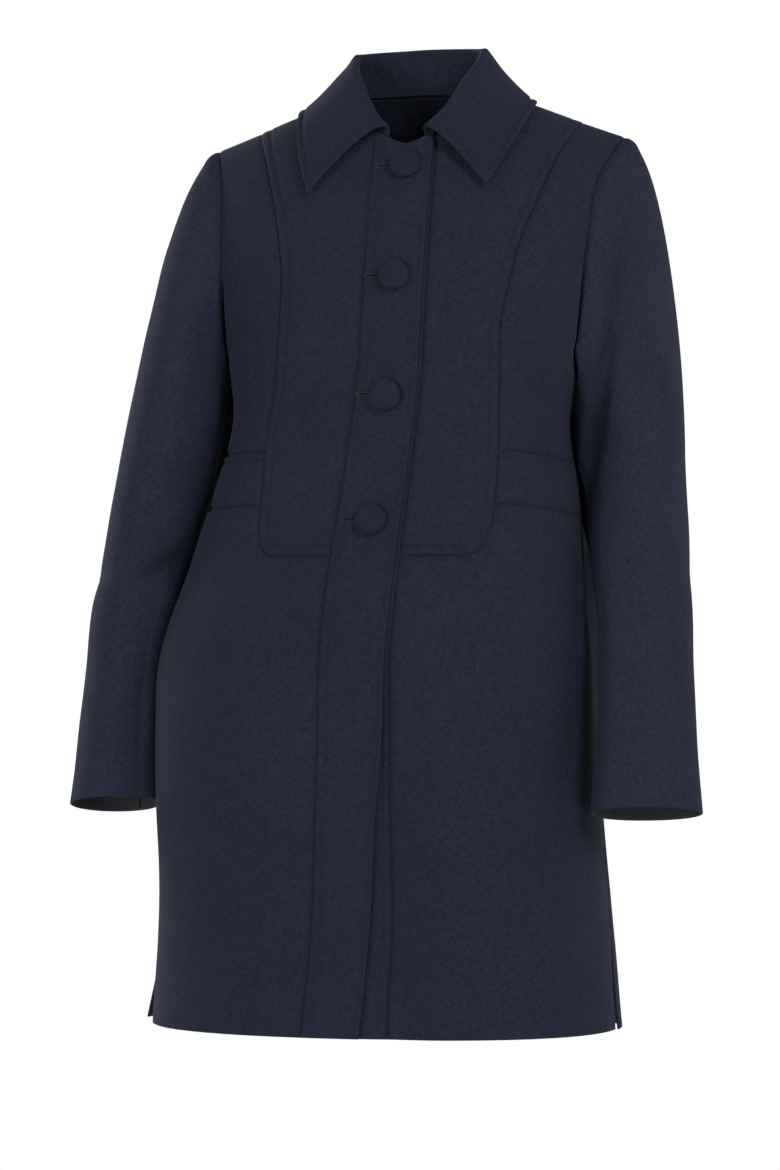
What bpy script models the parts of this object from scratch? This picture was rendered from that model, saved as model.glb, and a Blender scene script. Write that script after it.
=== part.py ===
"""Wool coat worn closed: bib fronts, waist insets, buttoned band, set-in sleeves and turn-down collar."""
import math
from collections import namedtuple

import bmesh
import bpy
import numpy as np

OBJECT_NAME = "wool_coat"

# Cloth
WALL = 0.0024
COLLAR_WALL = 0.0034
SEAM_GAP = 0.0003
LAP = 0.0006

# Heights, from the level of the neck point down to the hem
HEM = -0.891
VENT_TOP = -0.790
BIB_FOOT = -0.4385
BIB_CORNER = 0.021
WAIST_FOOT = -0.3895
WAIST_TOP = -0.3385
UNDERARM = -0.265

# Shoulders and neck
NECK_HALF = 0.075
NECK_POINT = 0.008
NECK_FRONT = -0.046
NECK_BACK = 0.012
NECK_ROUNDING = 0.020
NECK_CURVE = 1.4
SHOULDER_FORM = 0.2070
SHOULDER_SLOPE = 0.39
SHOULDER_TILT = 0.028
SHOULDER_LEAN = 0.0055
SHOULDER_TWIST = 7.0
SECTION_SQUARENESS = 2.3

# Closing
UNDER_BAND_REACH = 0.022
BAND_TOP_OFFSET = 0.030
LAP_DROP = 0.0033
LAP_RELEASE = 0.055
LAP_FOLD = 0.006
LAP_FOLD_START = -0.460
LAP_FOLD_FULL = -0.640

# Side seams: how far the waist seams dip towards them
WAIST_DIP_RIGHT = 0.002
WAIST_DIP_LEFT = 0.008
DIP_START = 38.0
DIP_FULL = 86.0

# Vent
VENT_GAP = 0.5
VENT_FLARE_RIGHT = 0.015
VENT_FLARE_LEFT = 0.003

Section = namedtuple("Section", "height half_width front back lean twist")
BODY = (
    Section(height=-0.891, half_width=0.2285, front=0.162, back=0.150, lean=-0.0276, twist=15.5),
    Section(height=-0.772, half_width=0.2205, front=0.154, back=0.146, lean=-0.0292, twist=11.8),
    Section(height=-0.678, half_width=0.2165, front=0.149, back=0.142, lean=-0.0348, twist=9.7),
    Section(height=-0.607, half_width=0.2150, front=0.145, back=0.139, lean=-0.0371, twist=8.6),
    Section(height=-0.532, half_width=0.2100, front=0.140, back=0.135, lean=-0.0369, twist=8.5),
    Section(height=-0.450, half_width=0.1925, front=0.133, back=0.128, lean=-0.0270, twist=8.8),
    Section(height=-0.373, half_width=0.1765, front=0.128, back=0.121, lean=-0.0176, twist=8.6),
    Section(height=-0.306, half_width=0.1637, front=0.1315, back=0.1185, lean=-0.0120, twist=7.0),
    Section(height=-0.285, half_width=0.1650, front=0.1343, back=0.1197, lean=-0.0103, twist=6.6),
    Section(height=-0.265, half_width=0.1690, front=0.135, back=0.120, lean=-0.0090, twist=6.4),
)

SeamRow = namedtuple("SeamRow", "height right left")
BIB_SEAM = (
    SeamRow(height=-0.4385, right=0.1110, left=0.1095),
    SeamRow(height=-0.4042, right=0.1129, left=0.1125),
    SeamRow(height=-0.3661, right=0.1148, left=0.1112),
    SeamRow(height=-0.3280, right=0.1161, left=0.1077),
    SeamRow(height=-0.2901, right=0.1137, left=0.1040),
    SeamRow(height=-0.2523, right=0.1120, left=0.1018),
    SeamRow(height=-0.2141, right=0.1115, left=0.1016),
    SeamRow(height=-0.1757, right=0.1122, left=0.1075),
    SeamRow(height=-0.1365, right=0.1187, left=0.1155),
    SeamRow(height=-0.0965, right=0.1284, left=0.1292),
    SeamRow(height=-0.0549, right=0.1424, left=0.1431),
    SeamRow(height=-0.0211, right=0.1545, left=0.1590),
)
ARMHOLE = (
    SeamRow(height=-0.233, right=0.1705, left=0.1687),
    SeamRow(height=-0.190, right=0.1757, left=0.1715),
    SeamRow(height=-0.1315, right=0.1805, left=0.1752),
    SeamRow(height=-0.0813, right=0.1868, left=0.1805),
    SeamRow(height=-0.0398, right=0.1964, left=0.1985),
)
ARMHOLE_NOTCH = 0.088
BAND_SEAM = (
    SeamRow(height=-0.884, right=0.0400, left=0.0425),
    SeamRow(height=-0.722, right=0.0375, left=0.0370),
    SeamRow(height=-0.583, right=0.0345, left=0.0330),
    SeamRow(height=-0.4385, right=0.0362, left=0.0312),
    SeamRow(height=-0.404, right=0.0354, left=0.0306),
    SeamRow(height=-0.300, right=0.0325, left=0.0303),
    SeamRow(height=-0.174, right=0.0308, left=0.0301),
    SeamRow(height=-0.050, right=0.0322, left=0.0293),
)
BandEdge = namedtuple("BandEdge", "height right")
OVER_BAND_EDGE = (
    BandEdge(height=-0.889, right=0.0175),
    BandEdge(height=-0.722, right=0.0200),
    BandEdge(height=-0.583, right=0.0275),
    BandEdge(height=-0.404, right=0.0260),
    BandEdge(height=-0.174, right=0.0254),
    BandEdge(height=-0.050, right=0.0255),
)

BACK_FULLNESS = (
    SeamRow(height=-0.891, right=0.0, left=0.0),
    SeamRow(height=-0.640, right=0.0, left=0.019),
    SeamRow(height=-0.570, right=0.0, left=0.033),
    SeamRow(height=-0.510, right=0.0, left=0.036),
    SeamRow(height=-0.470, right=0.0, left=0.035),
    SeamRow(height=-0.430, right=0.0, left=0.033),
    SeamRow(height=-0.408, right=0.0, left=0.025),
    SeamRow(height=-0.385, right=0.0, left=0.004),
    SeamRow(height=-0.360, right=0.0, left=0.0),
    SeamRow(height=-0.265, right=0.0, left=0.0),
)
FULLNESS_START = 104.0
FULLNESS_PEAK = 129.0
FULLNESS_END = 172.0

ArmRow = namedtuple("ArmRow", "height x y half_width half_depth pitch under fold box")
UNDER_BEARING = 222.0
UNDER_SPREAD = 28.0
FOLD_BEARING = 166.0
FOLD_SPREAD = 20.0
BOX_BEARING = 150.0
BOX_SPREAD = 26.0
LEFT_ARM = (
    ArmRow(height=-0.683, x=0.2195, y=-0.102, half_width=0.0535, half_depth=0.0410, pitch=12.0,
           under=0.0, fold=0.0, box=0.004),
    ArmRow(height=-0.612, x=0.2200, y=-0.088, half_width=0.0480, half_depth=0.0485, pitch=12.0,
           under=0.0, fold=0.0, box=0.008),
    ArmRow(height=-0.545, x=0.2205, y=-0.07, half_width=0.0460, half_depth=0.0525, pitch=10.0,
           under=0.0, fold=0.0, box=0.01),
    ArmRow(height=-0.492, x=0.2200, y=-0.05, half_width=0.0462, half_depth=0.0550, pitch=7.0,
           under=0.0, fold=0.0, box=0.01),
    ArmRow(height=-0.434, x=0.2172, y=-0.026, half_width=0.0480, half_depth=0.0590, pitch=3.0,
           under=0.006, fold=0.002, box=0.007),
    ArmRow(height=-0.387, x=0.2175, y=-0.006, half_width=0.0466, half_depth=0.0630, pitch=1.0,
           under=0.0235, fold=0.004, box=0.003),
    ArmRow(height=-0.340, x=0.2172, y=0.006, half_width=0.0453, half_depth=0.0650, pitch=0.0,
           under=0.036, fold=0.017, box=0.0),
)
RIGHT_ARM = (
    ArmRow(height=-0.681, x=-0.2940, y=0.055, half_width=0.0445, half_depth=0.0490, pitch=11.5,
           under=0.0, fold=0.0, box=0.009),
    ArmRow(height=-0.610, x=-0.2906, y=0.065, half_width=0.0401, half_depth=0.0540, pitch=8.0,
           under=0.0, fold=0.0, box=0.013),
    ArmRow(height=-0.545, x=-0.2849, y=0.068, half_width=0.0384, half_depth=0.0565, pitch=4.0,
           under=0.0, fold=0.0, box=0.013),
    ArmRow(height=-0.492, x=-0.2754, y=0.062, half_width=0.0415, half_depth=0.0575, pitch=2.0,
           under=0.004, fold=0.0, box=0.01),
    ArmRow(height=-0.434, x=-0.2600, y=0.050, half_width=0.0435, half_depth=0.0590, pitch=1.0,
           under=0.01, fold=0.0, box=0.006),
    ArmRow(height=-0.387, x=-0.2490, y=0.034, half_width=0.0465, half_depth=0.0620, pitch=0.0,
           under=0.017, fold=0.0, box=0.002),
    ArmRow(height=-0.344, x=-0.2395, y=0.014, half_width=0.0475, half_depth=0.0650, pitch=0.0,
           under=0.022, fold=0.0, box=0.0),
)
CapReach = namedtuple("CapReach", "out drop fall")
CAP_TOP = CapReach(out=0.125, drop=0.050, fall=0.330)
CAP_UNDER = CapReach(out=0.004, drop=0.000, fall=0.070)
UPPER_SLEEVE_FRONT = 14
UPPER_SLEEVE_BACK = 21

Station = namedtuple("Station", "angle stand inward across over clear roll")
COLLAR = (
    Station(angle=0, stand=0.040, inward=0.003, across=0.000, over=0.40, clear=0.003, roll=0.034),
    Station(angle=50, stand=0.039, inward=0.006, across=0.078, over=0.33, clear=0.004, roll=0.034),
    Station(angle=90, stand=0.036, inward=0.013, across=0.114, over=-0.03, clear=0.006, roll=0.034),
    Station(angle=112, stand=0.0276, inward=0.011, across=0.111, over=-0.21, clear=0.006, roll=0.034),
    Station(angle=130, stand=0.021, inward=0.009, across=0.104, over=-0.36, clear=0.005, roll=0.036),
    Station(angle=147, stand=0.0105, inward=0.006, across=0.094, over=-0.47, clear=0.005, roll=0.040),
    Station(angle=166, stand=0.004, inward=0.001, across=0.083, over=-0.56, clear=0.006, roll=0.045),
)
COLLAR_FULL_STAND = 0.036
COLLAR_SHIFT = 0.0055
COLLAR_SHIFT_START = 100.0
COLLAR_BOW_RIGHT = 0.010
COLLAR_BOW_LEFT = 0.004
COLLAR_BOW_START = 128.0

ButtonRow = namedtuple("ButtonRow", "radius rise")
BUTTON_PROFILE = (
    ButtonRow(radius=0.0, rise=0.0000),
    ButtonRow(radius=0.0040, rise=0.0000),
    ButtonRow(radius=0.0040, rise=0.0022),
    ButtonRow(radius=0.0128, rise=0.0024),
    ButtonRow(radius=0.0144, rise=0.0034),
    ButtonRow(radius=0.0148, rise=0.0050),
    ButtonRow(radius=0.0138, rise=0.0070),
    ButtonRow(radius=0.0110, rise=0.0086),
    ButtonRow(radius=0.0060, rise=0.0094),
    ButtonRow(radius=0.0, rise=0.0096),
)
ButtonPlace = namedtuple("ButtonPlace", "height across")
BUTTONS = (
    ButtonPlace(height=-0.0677, across=0.0015),
    ButtonPlace(height=-0.1738, across=-0.0010),
    ButtonPlace(height=-0.2861, across=-0.0028),
    ButtonPlace(height=-0.4038, across=-0.0009),
)
BUTTON_SEGMENTS = 20

SKIRT_ROWS = (-0.891, -0.840, -0.790, -0.735, -0.675, -0.615, -0.555, -0.495)
ARMHOLE_ROWS = (0.004, 0.015, 0.035, 0.06, 0.088)
SHOULDER_ROWS = (*ARMHOLE_ROWS, 0.14, 0.20, 0.28, 0.37, 0.47, 0.58, 0.69, 0.80, 0.91, 1.0)
CORNER_STEPS = 4
NECK_STRETCH_FROM = 0.20
NECK_STEPS = 4
BACK_SHOULDER_STEPS = 7
BAND_STEPS = 3
SIDE_STEPS = 6
SKIRT_INNER_STEPS = 3
CAP_STEPS = (0.0, 0.06, 0.15, 0.27, 0.42, 0.60, 0.80, 1.0)
ARM_STEPS = 8
STAND_STEPS = 2
FALL_STEPS = (0.08, 0.18, 0.30, 0.44, 0.62, 0.82, 1.0)


def smooth_column(rows, key, column, at):
    """Value of a table's named column, eased between its rows."""
    keys = np.array([getattr(row, key) for row in rows])
    values = np.array([getattr(row, column) for row in rows])
    slopes = np.gradient(values, keys)
    at = np.clip(np.asarray(at, float), keys[0], keys[-1])
    place = np.clip(np.searchsorted(keys, at) - 1, 0, len(keys) - 2)
    span = keys[place + 1] - keys[place]
    share = (at - keys[place]) / span
    return hermite(values[place], slopes[place] * span, values[place + 1], slopes[place + 1] * span, share)


def hermite(start, start_pull, end, end_pull, share):
    """Cubic between two ends with the given pulls."""
    return (
        (2 * share**3 - 3 * share**2 + 1) * start
        + (share**3 - 2 * share**2 + share) * start_pull
        + (3 * share**2 - 2 * share**3) * end
        + (share**3 - share**2) * end_pull
    )


def ease(low, high, value):
    """Smooth step from 0 at low to 1 at high."""
    share = np.clip((np.asarray(value, float) - low) / (high - low), 0.0, 1.0)
    return share * share * (3.0 - 2.0 * share)


def ridge_height(across):
    """Height of the shoulder line, rounded over at the centre of the neck."""
    reach = np.sqrt(np.asarray(across, float) ** 2 + NECK_ROUNDING**2)
    return NECK_POINT + SHOULDER_SLOPE * (math.hypot(NECK_HALF, NECK_ROUNDING) - reach)


def half_width_at(level):
    """Half width of the body form at a level."""
    rise = np.clip(level, 0.0, 1.0)
    width = smooth_column(BODY, "height", "half_width", UNDERARM + np.minimum(level, 0.0))
    return width + (SHOULDER_FORM - BODY[-1].half_width) * (1.0 - (1.0 - rise) ** 3)


def height_at(across, level):
    """Height of a point before the shoulders are tilted."""
    rise = np.sin(np.clip(level, 0.0, 1.0) * math.pi / 2)
    return np.where(
        np.asarray(level) < 0.0,
        UNDERARM + np.minimum(level, 0.0),
        UNDERARM + (ridge_height(across) - UNDERARM) * rise,
    )


def level_at(across, height):
    """Level of a point given by its offset and its height."""
    height = np.asarray(height, float)
    rise = np.clip((height - UNDERARM) / (ridge_height(across) - UNDERARM), 0.0, 1.0)
    return np.where(height < UNDERARM, height - UNDERARM, np.arcsin(rise) * 2 / math.pi)


def back_fullness(turn, height):
    """How far the back stands out behind the side seams."""
    away = np.abs(np.degrees(turn))
    place = ease(FULLNESS_START, FULLNESS_PEAK, away) * (1.0 - ease(FULLNESS_PEAK, FULLNESS_END, away))
    right = smooth_column(BACK_FULLNESS, "height", "right", height)
    left = smooth_column(BACK_FULLNESS, "height", "left", height)
    return np.where(turn < 0, -right, left) * place


def body_point(turn, level):
    """Point of the cloth's outer face: turn is 0 at centre front and +90 at the wearer's left side."""
    turn = np.radians(np.asarray(turn, float))
    level = np.asarray(level, float)
    height = UNDERARM + np.minimum(level, 0.0)
    rise = np.clip(level, 0.0, 1.0)
    power = 2.0 / SECTION_SQUARENESS
    closing = np.cos(rise * math.pi / 2)
    front = smooth_column(BODY, "height", "front", height) * closing
    back = smooth_column(BODY, "height", "back", height) * closing
    across = half_width_at(level) * np.sign(np.sin(turn)) * np.abs(np.sin(turn)) ** power
    across = across + back_fullness(turn, height)
    depth = np.where(np.cos(turn) > 0, -front, back) * np.abs(np.cos(turn)) ** power
    share = np.sin(rise * math.pi / 2)
    lean = smooth_column(BODY, "height", "lean", height) * (1 - share) + SHOULDER_LEAN * share
    twist = smooth_column(BODY, "height", "twist", height) * (1 - share) + SHOULDER_TWIST * share
    twist = np.radians(twist)
    z = height_at(across, level) + SHOULDER_TILT * across * share
    x = lean + across * np.cos(twist) + depth * np.sin(twist)
    y = depth * np.cos(twist) - across * np.sin(twist)
    return np.stack(np.broadcast_arrays(x, y, z), axis=-1)


def body_normal(turn, level):
    """Outward direction of the body form."""
    above = np.minimum(np.asarray(level, float) + 0.002, 1.0)
    round_way = body_point(np.asarray(turn) + 0.2, level) - body_point(np.asarray(turn) - 0.2, level)
    up_way = body_point(turn, above) - body_point(turn, above - 0.004)
    normal = np.cross(round_way, up_way)
    return normal / np.linalg.norm(normal, axis=-1, keepdims=True)


def turn_at(across, level):
    """Turn of a point at the front, given by its offset from the centre."""
    ratio = np.clip(np.abs(across) / half_width_at(level), 0.0, 1.0)
    return np.sign(across) * np.degrees(np.arcsin(ratio ** (SECTION_SQUARENESS / 2)))


def seam_offset(rows, side, level):
    """Offset of a seam from centre front at each level."""
    across = np.full(np.shape(level), 0.1)
    for _ in range(8):
        across = smooth_column(rows, "height", side, height_at(across, level))
    return across


def bib_offset(side, level):
    """Offset of the bib's outer seam, with its lower corner rounded."""
    rise = np.clip(height_at(0.1, level) - BIB_FOOT, 0.0, BIB_CORNER)
    corner = BIB_CORNER - np.sqrt(BIB_CORNER**2 - (BIB_CORNER - rise) ** 2)
    return seam_offset(BIB_SEAM, side, level) - corner


def side_turn(side, level):
    """Turn of the side seam, and of the armhole above it."""
    level = np.asarray(level, float)
    notch = float(turn_at(seam_offset(ARMHOLE, side, np.array(ARMHOLE_NOTCH)), ARMHOLE_NOTCH))
    scoop = np.sqrt(1.0 - (1.0 - np.clip(level / ARMHOLE_NOTCH, 0.0, 1.0)) ** 2)
    low = 90.0 - (90.0 - notch) * scoop
    above = np.maximum(level, ARMHOLE_NOTCH)
    high = turn_at(seam_offset(ARMHOLE, side, above), above)
    return np.where(level <= ARMHOLE_NOTCH, low, high)


def neck_level(across, foot):
    """Level of the neckline at an offset, on the front or the back."""
    ratio = np.clip(np.abs(across) / NECK_HALF, 0.0, 1.0)
    height = foot + (NECK_POINT - foot) * ratio**NECK_CURVE
    return np.where(ratio >= 1.0, 1.0, level_at(across, height))


def stretched(levels, top):
    """Row levels drawn in at the top so that they end at the neckline."""
    share = (levels - NECK_STRETCH_FROM) / (1.0 - NECK_STRETCH_FROM)
    return np.where(share <= 0.0, levels, NECK_STRETCH_FROM + share * (top - NECK_STRETCH_FROM))


def row_levels(low, high):
    """Levels of the rows that every panel shares, between two heights or shoulder levels."""
    bend = [math.pi / 2 * k / CORNER_STEPS for k in range(CORNER_STEPS + 1)]
    corner = [BIB_FOOT + BIB_CORNER * (1.0 - math.cos(angle)) for angle in bend]
    middle = [0.5 * (WAIST_FOOT + WAIST_TOP), BUTTONS[2].height]
    heights = sorted([*SKIRT_ROWS, *corner, WAIST_FOOT, WAIST_TOP, *middle, UNDERARM])
    levels = np.array([height - UNDERARM for height in heights] + list(SHOULDER_ROWS))
    return levels[(levels > low - 1e-6) & (levels < high + 1e-6)]


def waist_dip(turn, level):
    """How far the cloth hangs down at the side seams, most at the waist."""
    from_centre = np.minimum(np.abs(turn), 180.0 - np.abs(turn))
    waist = ease(0.0, UNDERARM - WAIST_TOP, -level) * (1.0 - ease(UNDERARM - WAIST_FOOT, 0.30, -level))
    depth = np.where(turn < 0, WAIST_DIP_RIGHT, WAIST_DIP_LEFT)
    return depth * waist * ease(DIP_START, DIP_FULL, from_centre)


def on_body(turn, level, lift=0.0):
    """Patch of cloth on the body form: its points and outward directions."""
    turn, level = np.broadcast_arrays(np.asarray(turn, float), np.asarray(level, float))
    level = level - waist_dip(turn, level)
    normal = body_normal(turn, level)
    return body_point(turn, level) + np.asarray(lift)[..., None] * normal, normal


def sew_piece(name, patches, wall, finish, collection):
    """Joins patches into one sheet, opens the seam gap round it and gives it its thickness."""
    sheet = bmesh.new()
    outward = sheet.verts.layers.float_vector.new("outward")
    for points, normals in patches:
        rows, columns = points.shape[:2]
        grid = bmesh.ops.create_grid(sheet, x_segments=columns - 1, y_segments=rows - 1, size=0.5)
        for vert in grid["verts"]:
            row = round((vert.co.y + 0.5) * (rows - 1))
            column = round((vert.co.x + 0.5) * (columns - 1))
            vert.co = points[row, column]
            vert[outward] = normals[row, column]
    bmesh.ops.remove_doubles(sheet, verts=sheet.verts, dist=0.00001)
    open_seam(sheet, outward)
    inner = bmesh.ops.extrude_face_region(sheet, geom=sheet.faces[:], use_keep_orig=True)
    for vert in inner["geom"]:
        if isinstance(vert, bmesh.types.BMVert):
            vert.co -= wall * vert[outward]
    return finish_mesh(name, sheet, finish, collection)


def open_seam(sheet, outward):
    """Draws the border of a sheet in by half the seam gap."""
    moves = {}
    for vert in sheet.verts:
        inward = []
        for edge in vert.link_edges:
            if edge.is_boundary:
                face = edge.link_faces[0]
                way = (edge.verts[1].co - edge.verts[0].co).cross(vert[outward]).normalized()
                to_face = face.calc_center_median() - edge.verts[0].co
                inward.append(way if way.dot(to_face) > 0 else -way)
        if len(inward) == 2:
            spread = max(1.0 + inward[0].dot(inward[1]), 0.5)
            moves[vert] = (inward[0] + inward[1]) * (SEAM_GAP / 2 / spread)
    for vert, move in moves.items():
        vert.co += move


def finish_mesh(name, work, finish, collection):
    """Closes a work mesh into a named object with its material."""
    bmesh.ops.recalc_face_normals(work, faces=work.faces)
    if work.calc_volume(signed=True) < 0:
        bmesh.ops.reverse_faces(work, faces=work.faces)
    mesh = bpy.data.meshes.new(name)
    work.to_mesh(mesh)
    work.free()
    mesh.materials.append(finish)
    piece = bpy.data.objects.new(name, mesh)
    collection.objects.link(piece)
    return piece


def cloth_finish(name, colour, roughness):
    """Plain wool material for one piece."""
    finish = bpy.data.materials.new(name)
    finish.use_nodes = True
    shader = finish.node_tree.nodes["Principled BSDF"]
    shader.inputs["Base Color"].default_value = (*colour, 1.0)
    shader.inputs["Roughness"].default_value = roughness
    return finish


def side_sign(side):
    """Minus one on the wearer's right, plus one on the left."""
    return -1.0 if side == "right" else 1.0


def lap_fold(level):
    """Depth of the hanging fold beside the over band's edge."""
    return LAP_FOLD * ease(UNDERARM - LAP_FOLD_START, UNDERARM - LAP_FOLD_FULL, -level)


def under_lap(side, across, seam, level):
    """How far the left front lies in below the over band."""
    if side == "right":
        return np.zeros(np.shape(across))
    return -(LAP_DROP + lap_fold(level)) * (1.0 - ease(0.0, LAP_RELEASE, across - seam))


def bib_patch(side):
    """Bib front from its rounded foot to the neckline and the shoulder."""
    sign = side_sign(side)
    levels = row_levels(BIB_FOOT - UNDERARM, 1.0)[:, None]
    near = seam_offset(BAND_SEAM, side, levels)
    far = bib_offset(side, levels)
    first = math.asin(float(near[-1, 0]) / NECK_HALF)
    neck = NECK_HALF * np.sin(np.linspace(first, math.pi / 2, NECK_STEPS + 1))
    shoulder = np.linspace(NECK_HALF, float(far[-1, 0]), NECK_STEPS)[1:]
    top_row = np.concatenate([neck, shoulder])
    share = (top_row - top_row[0]) / (top_row[-1] - top_row[0])
    across = near + share * (far - near)
    levels = stretched(levels, neck_level(top_row, NECK_FRONT))
    lift = LAP + under_lap(side, across, near, levels)
    return on_body(sign * turn_at(across, levels), levels, lift)


def side_front_patch(side):
    """Side front from the waist seam up to the armhole and the shoulder."""
    levels = row_levels(WAIST_TOP - UNDERARM, 1.0)[:, None]
    near = turn_at(bib_offset(side, levels), levels)
    turn = near + np.linspace(0.0, 1.0, SIDE_STEPS + 1) * (side_turn(side, levels) - near)
    return on_body(side_sign(side) * turn, levels, np.zeros(turn.shape))


def waist_patch(side):
    """Waist inset from the bib seam to the side seam."""
    levels = row_levels(WAIST_FOOT - UNDERARM, WAIST_TOP - UNDERARM)[:, None]
    near = turn_at(bib_offset(side, levels), levels)
    turn = near + np.linspace(0.0, 1.0, SIDE_STEPS + 1) * (90.0 - near)
    return on_body(side_sign(side) * turn, levels, np.zeros(turn.shape))


def skirt_patches(side):
    """Front skirt: the full width below the bib, and the part beside the bib's lower corner."""
    sign = side_sign(side)
    levels = row_levels(HEM - UNDERARM, BIB_FOOT - UNDERARM)[:, None]
    near = seam_offset(BAND_SEAM, side, levels)
    corner = np.full(levels.shape, float(bib_offset(side, np.array(BIB_FOOT - UNDERARM))))
    side_edge = 90.0 - VENT_GAP * (levels < VENT_TOP - UNDERARM)
    inner = near + np.linspace(0.0, 1.0, SKIRT_INNER_STEPS + 1) * (corner - near)
    corner_turn = turn_at(corner, levels)
    outer = corner_turn + np.linspace(0.0, 1.0, SIDE_STEPS + 1)[1:] * (side_edge - corner_turn)
    turn = np.concatenate([turn_at(inner, levels), outer], axis=1)
    across = np.concatenate([inner, np.full(outer.shape, 1.0)], axis=1)
    lower = on_body(sign * turn, levels, under_lap(side, across, near, levels))
    levels = row_levels(BIB_FOOT - UNDERARM, WAIST_FOOT - UNDERARM)[:, None]
    near_turn = turn_at(bib_offset(side, levels), levels)
    turn = near_turn + np.linspace(0.0, 1.0, SIDE_STEPS + 1) * (90.0 - near_turn)
    upper = on_body(sign * turn, levels, np.zeros(turn.shape))
    return [lower, upper]


def band_patch(side):
    """Band from neckline to hem: the over band, or the under band that lies in below it."""
    levels = row_levels(HEM - UNDERARM, 1.0)[:, None]
    share = np.linspace(0.0, 1.0, BAND_STEPS + 1)
    if side == "right":
        near = -seam_offset(BAND_SEAM, side, levels)
        far = seam_offset(OVER_BAND_EDGE, side, levels)
        lift = np.full(levels.shape, LAP)
    else:
        near = np.full(levels.shape, -UNDER_BAND_REACH)
        far = seam_offset(BAND_SEAM, side, levels)
        lift = LAP - LAP_DROP - lap_fold(levels) * share**2
    across = near + share * (far - near)
    levels = stretched(levels, neck_level(across[-1], NECK_FRONT))
    return on_body(turn_at(across, levels), levels, lift)


def back_half(side):
    """Turns and levels of one half of the back, from its centre to the side seam and armhole."""
    levels = row_levels(HEM - UNDERARM, 1.0)[:, None]
    neck = NECK_HALF * np.sin(np.linspace(0.0, math.pi / 2, NECK_STEPS + 1))
    end = float(seam_offset(ARMHOLE, side, np.array(1.0)))
    top_row = np.concatenate([neck, np.linspace(NECK_HALF, end, BACK_SHOULDER_STEPS + 1)[1:]])
    share = turn_at(top_row, 1.0) / side_turn(side, 1.0)
    turn = 180.0 - share * side_turn(side, levels)
    return side_sign(side) * turn, stretched(levels, neck_level(top_row, NECK_BACK))


def back_patch():
    """Back in one piece between the side seams, flaring at the side vents."""
    right_turn, right_level = back_half("right")
    left_turn, left_level = back_half("left")
    turn = np.concatenate([right_turn[:, :0:-1], left_turn], axis=1)
    level = np.concatenate([right_level[:, :0:-1], left_level], axis=1)
    open_way = np.clip((VENT_TOP - UNDERARM - level) / (VENT_TOP - HEM), 0.0, 1.0) ** 1.3
    near_side = np.exp(-(((np.abs(turn) - 90.0) / 14.0) ** 2))
    flare = np.where(turn < 0, VENT_FLARE_RIGHT, VENT_FLARE_LEFT) * open_way * near_side
    return on_body(turn, level, flare)


def armhole_ring(side):
    """Armhole seam from the shoulder down the front, under the arm and up the back."""
    down = row_levels(0.0, 1.0)[::-1]
    up = down[::-1][1:-1]
    turn = np.concatenate([side_turn(side, down), 180.0 - side_turn(side, up)])
    return on_body(side_sign(side) * turn, np.concatenate([down, up]))


def bump(bearing, middle, spread):
    """Soft bump of height one round a bearing."""
    return np.exp(-(((np.degrees(bearing) - middle) / spread) ** 2))


def arm_ring(side, rows, height, bearing):
    """Ring of the sleeve across the arm: bearing 0 is its outer side and 90 its front."""
    centre = np.array([smooth_column(rows, "height", axis, height) for axis in ("x", "y")] + [height])
    pitch = math.radians(float(smooth_column(rows, "height", "pitch", height)))
    out = np.array([side_sign(side), 0.0, 0.0])
    fore = np.array([0.0, -math.cos(pitch), math.sin(pitch)])
    width = float(smooth_column(rows, "height", "half_width", height))
    depth = float(smooth_column(rows, "height", "half_depth", height))
    names = ("under", "fold", "box")
    under, fold, box = (float(smooth_column(rows, "height", name, height)) for name in names)
    inward = under * bump(bearing, UNDER_BEARING, UNDER_SPREAD)
    inward = inward + fold * bump(bearing, FOLD_BEARING, FOLD_SPREAD)
    wide = width * np.cos(bearing) - inward
    deep = depth * np.sin(bearing) + box * bump(bearing, BOX_BEARING, BOX_SPREAD)
    return centre + wide[:, None] * out + deep[:, None] * fore


def sleeve_tube(side):
    """Whole sleeve as rings from the armhole to the cuff, with outward directions."""
    rows = LEFT_ARM if side == "left" else RIGHT_ARM
    rim, rim_normal = armhole_ring(side)
    step = np.linalg.norm(np.roll(rim, -1, axis=0) - rim, axis=1)
    bearing = 2 * math.pi * np.concatenate([[0.0], np.cumsum(step)[:-1]]) / step.sum()
    top = rows[-1].height
    biceps = arm_ring(side, rows, top, bearing)
    high = (1.0 + np.cos(bearing))[:, None] / 2
    reach = [CAP_UNDER[k] + (CAP_TOP[k] - CAP_UNDER[k]) * high for k in range(3)]
    out = np.array([side_sign(side), 0.0, 0.0])
    down = np.array([rows[-2].x - rows[-1].x, rows[-2].y - rows[-1].y, rows[-2].height - rows[-1].height])
    down /= np.linalg.norm(down)
    start_pull = reach[0] * out - reach[1] * np.array([0.0, 0.0, 1.0])
    rings = [hermite(rim, start_pull, biceps, reach[2] * down, share) for share in CAP_STEPS]
    heights = np.linspace(top, rows[0].height, ARM_STEPS + 1)[1:]
    rings += [arm_ring(side, rows, height, bearing) for height in heights]
    points = np.array(rings)
    points[0] += out * SEAM_GAP
    round_way = np.roll(points, -1, axis=1) - np.roll(points, 1, axis=1)
    normals = np.cross(round_way, np.gradient(points, axis=0)) * side_sign(side)
    normals /= np.linalg.norm(normals, axis=-1, keepdims=True)
    like_body = ease(-0.5, 0.3, np.cos(bearing))[:, None]
    normals[0] += like_body * (rim_normal - normals[0])
    return points, normals / np.linalg.norm(normals, axis=-1, keepdims=True)


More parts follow.
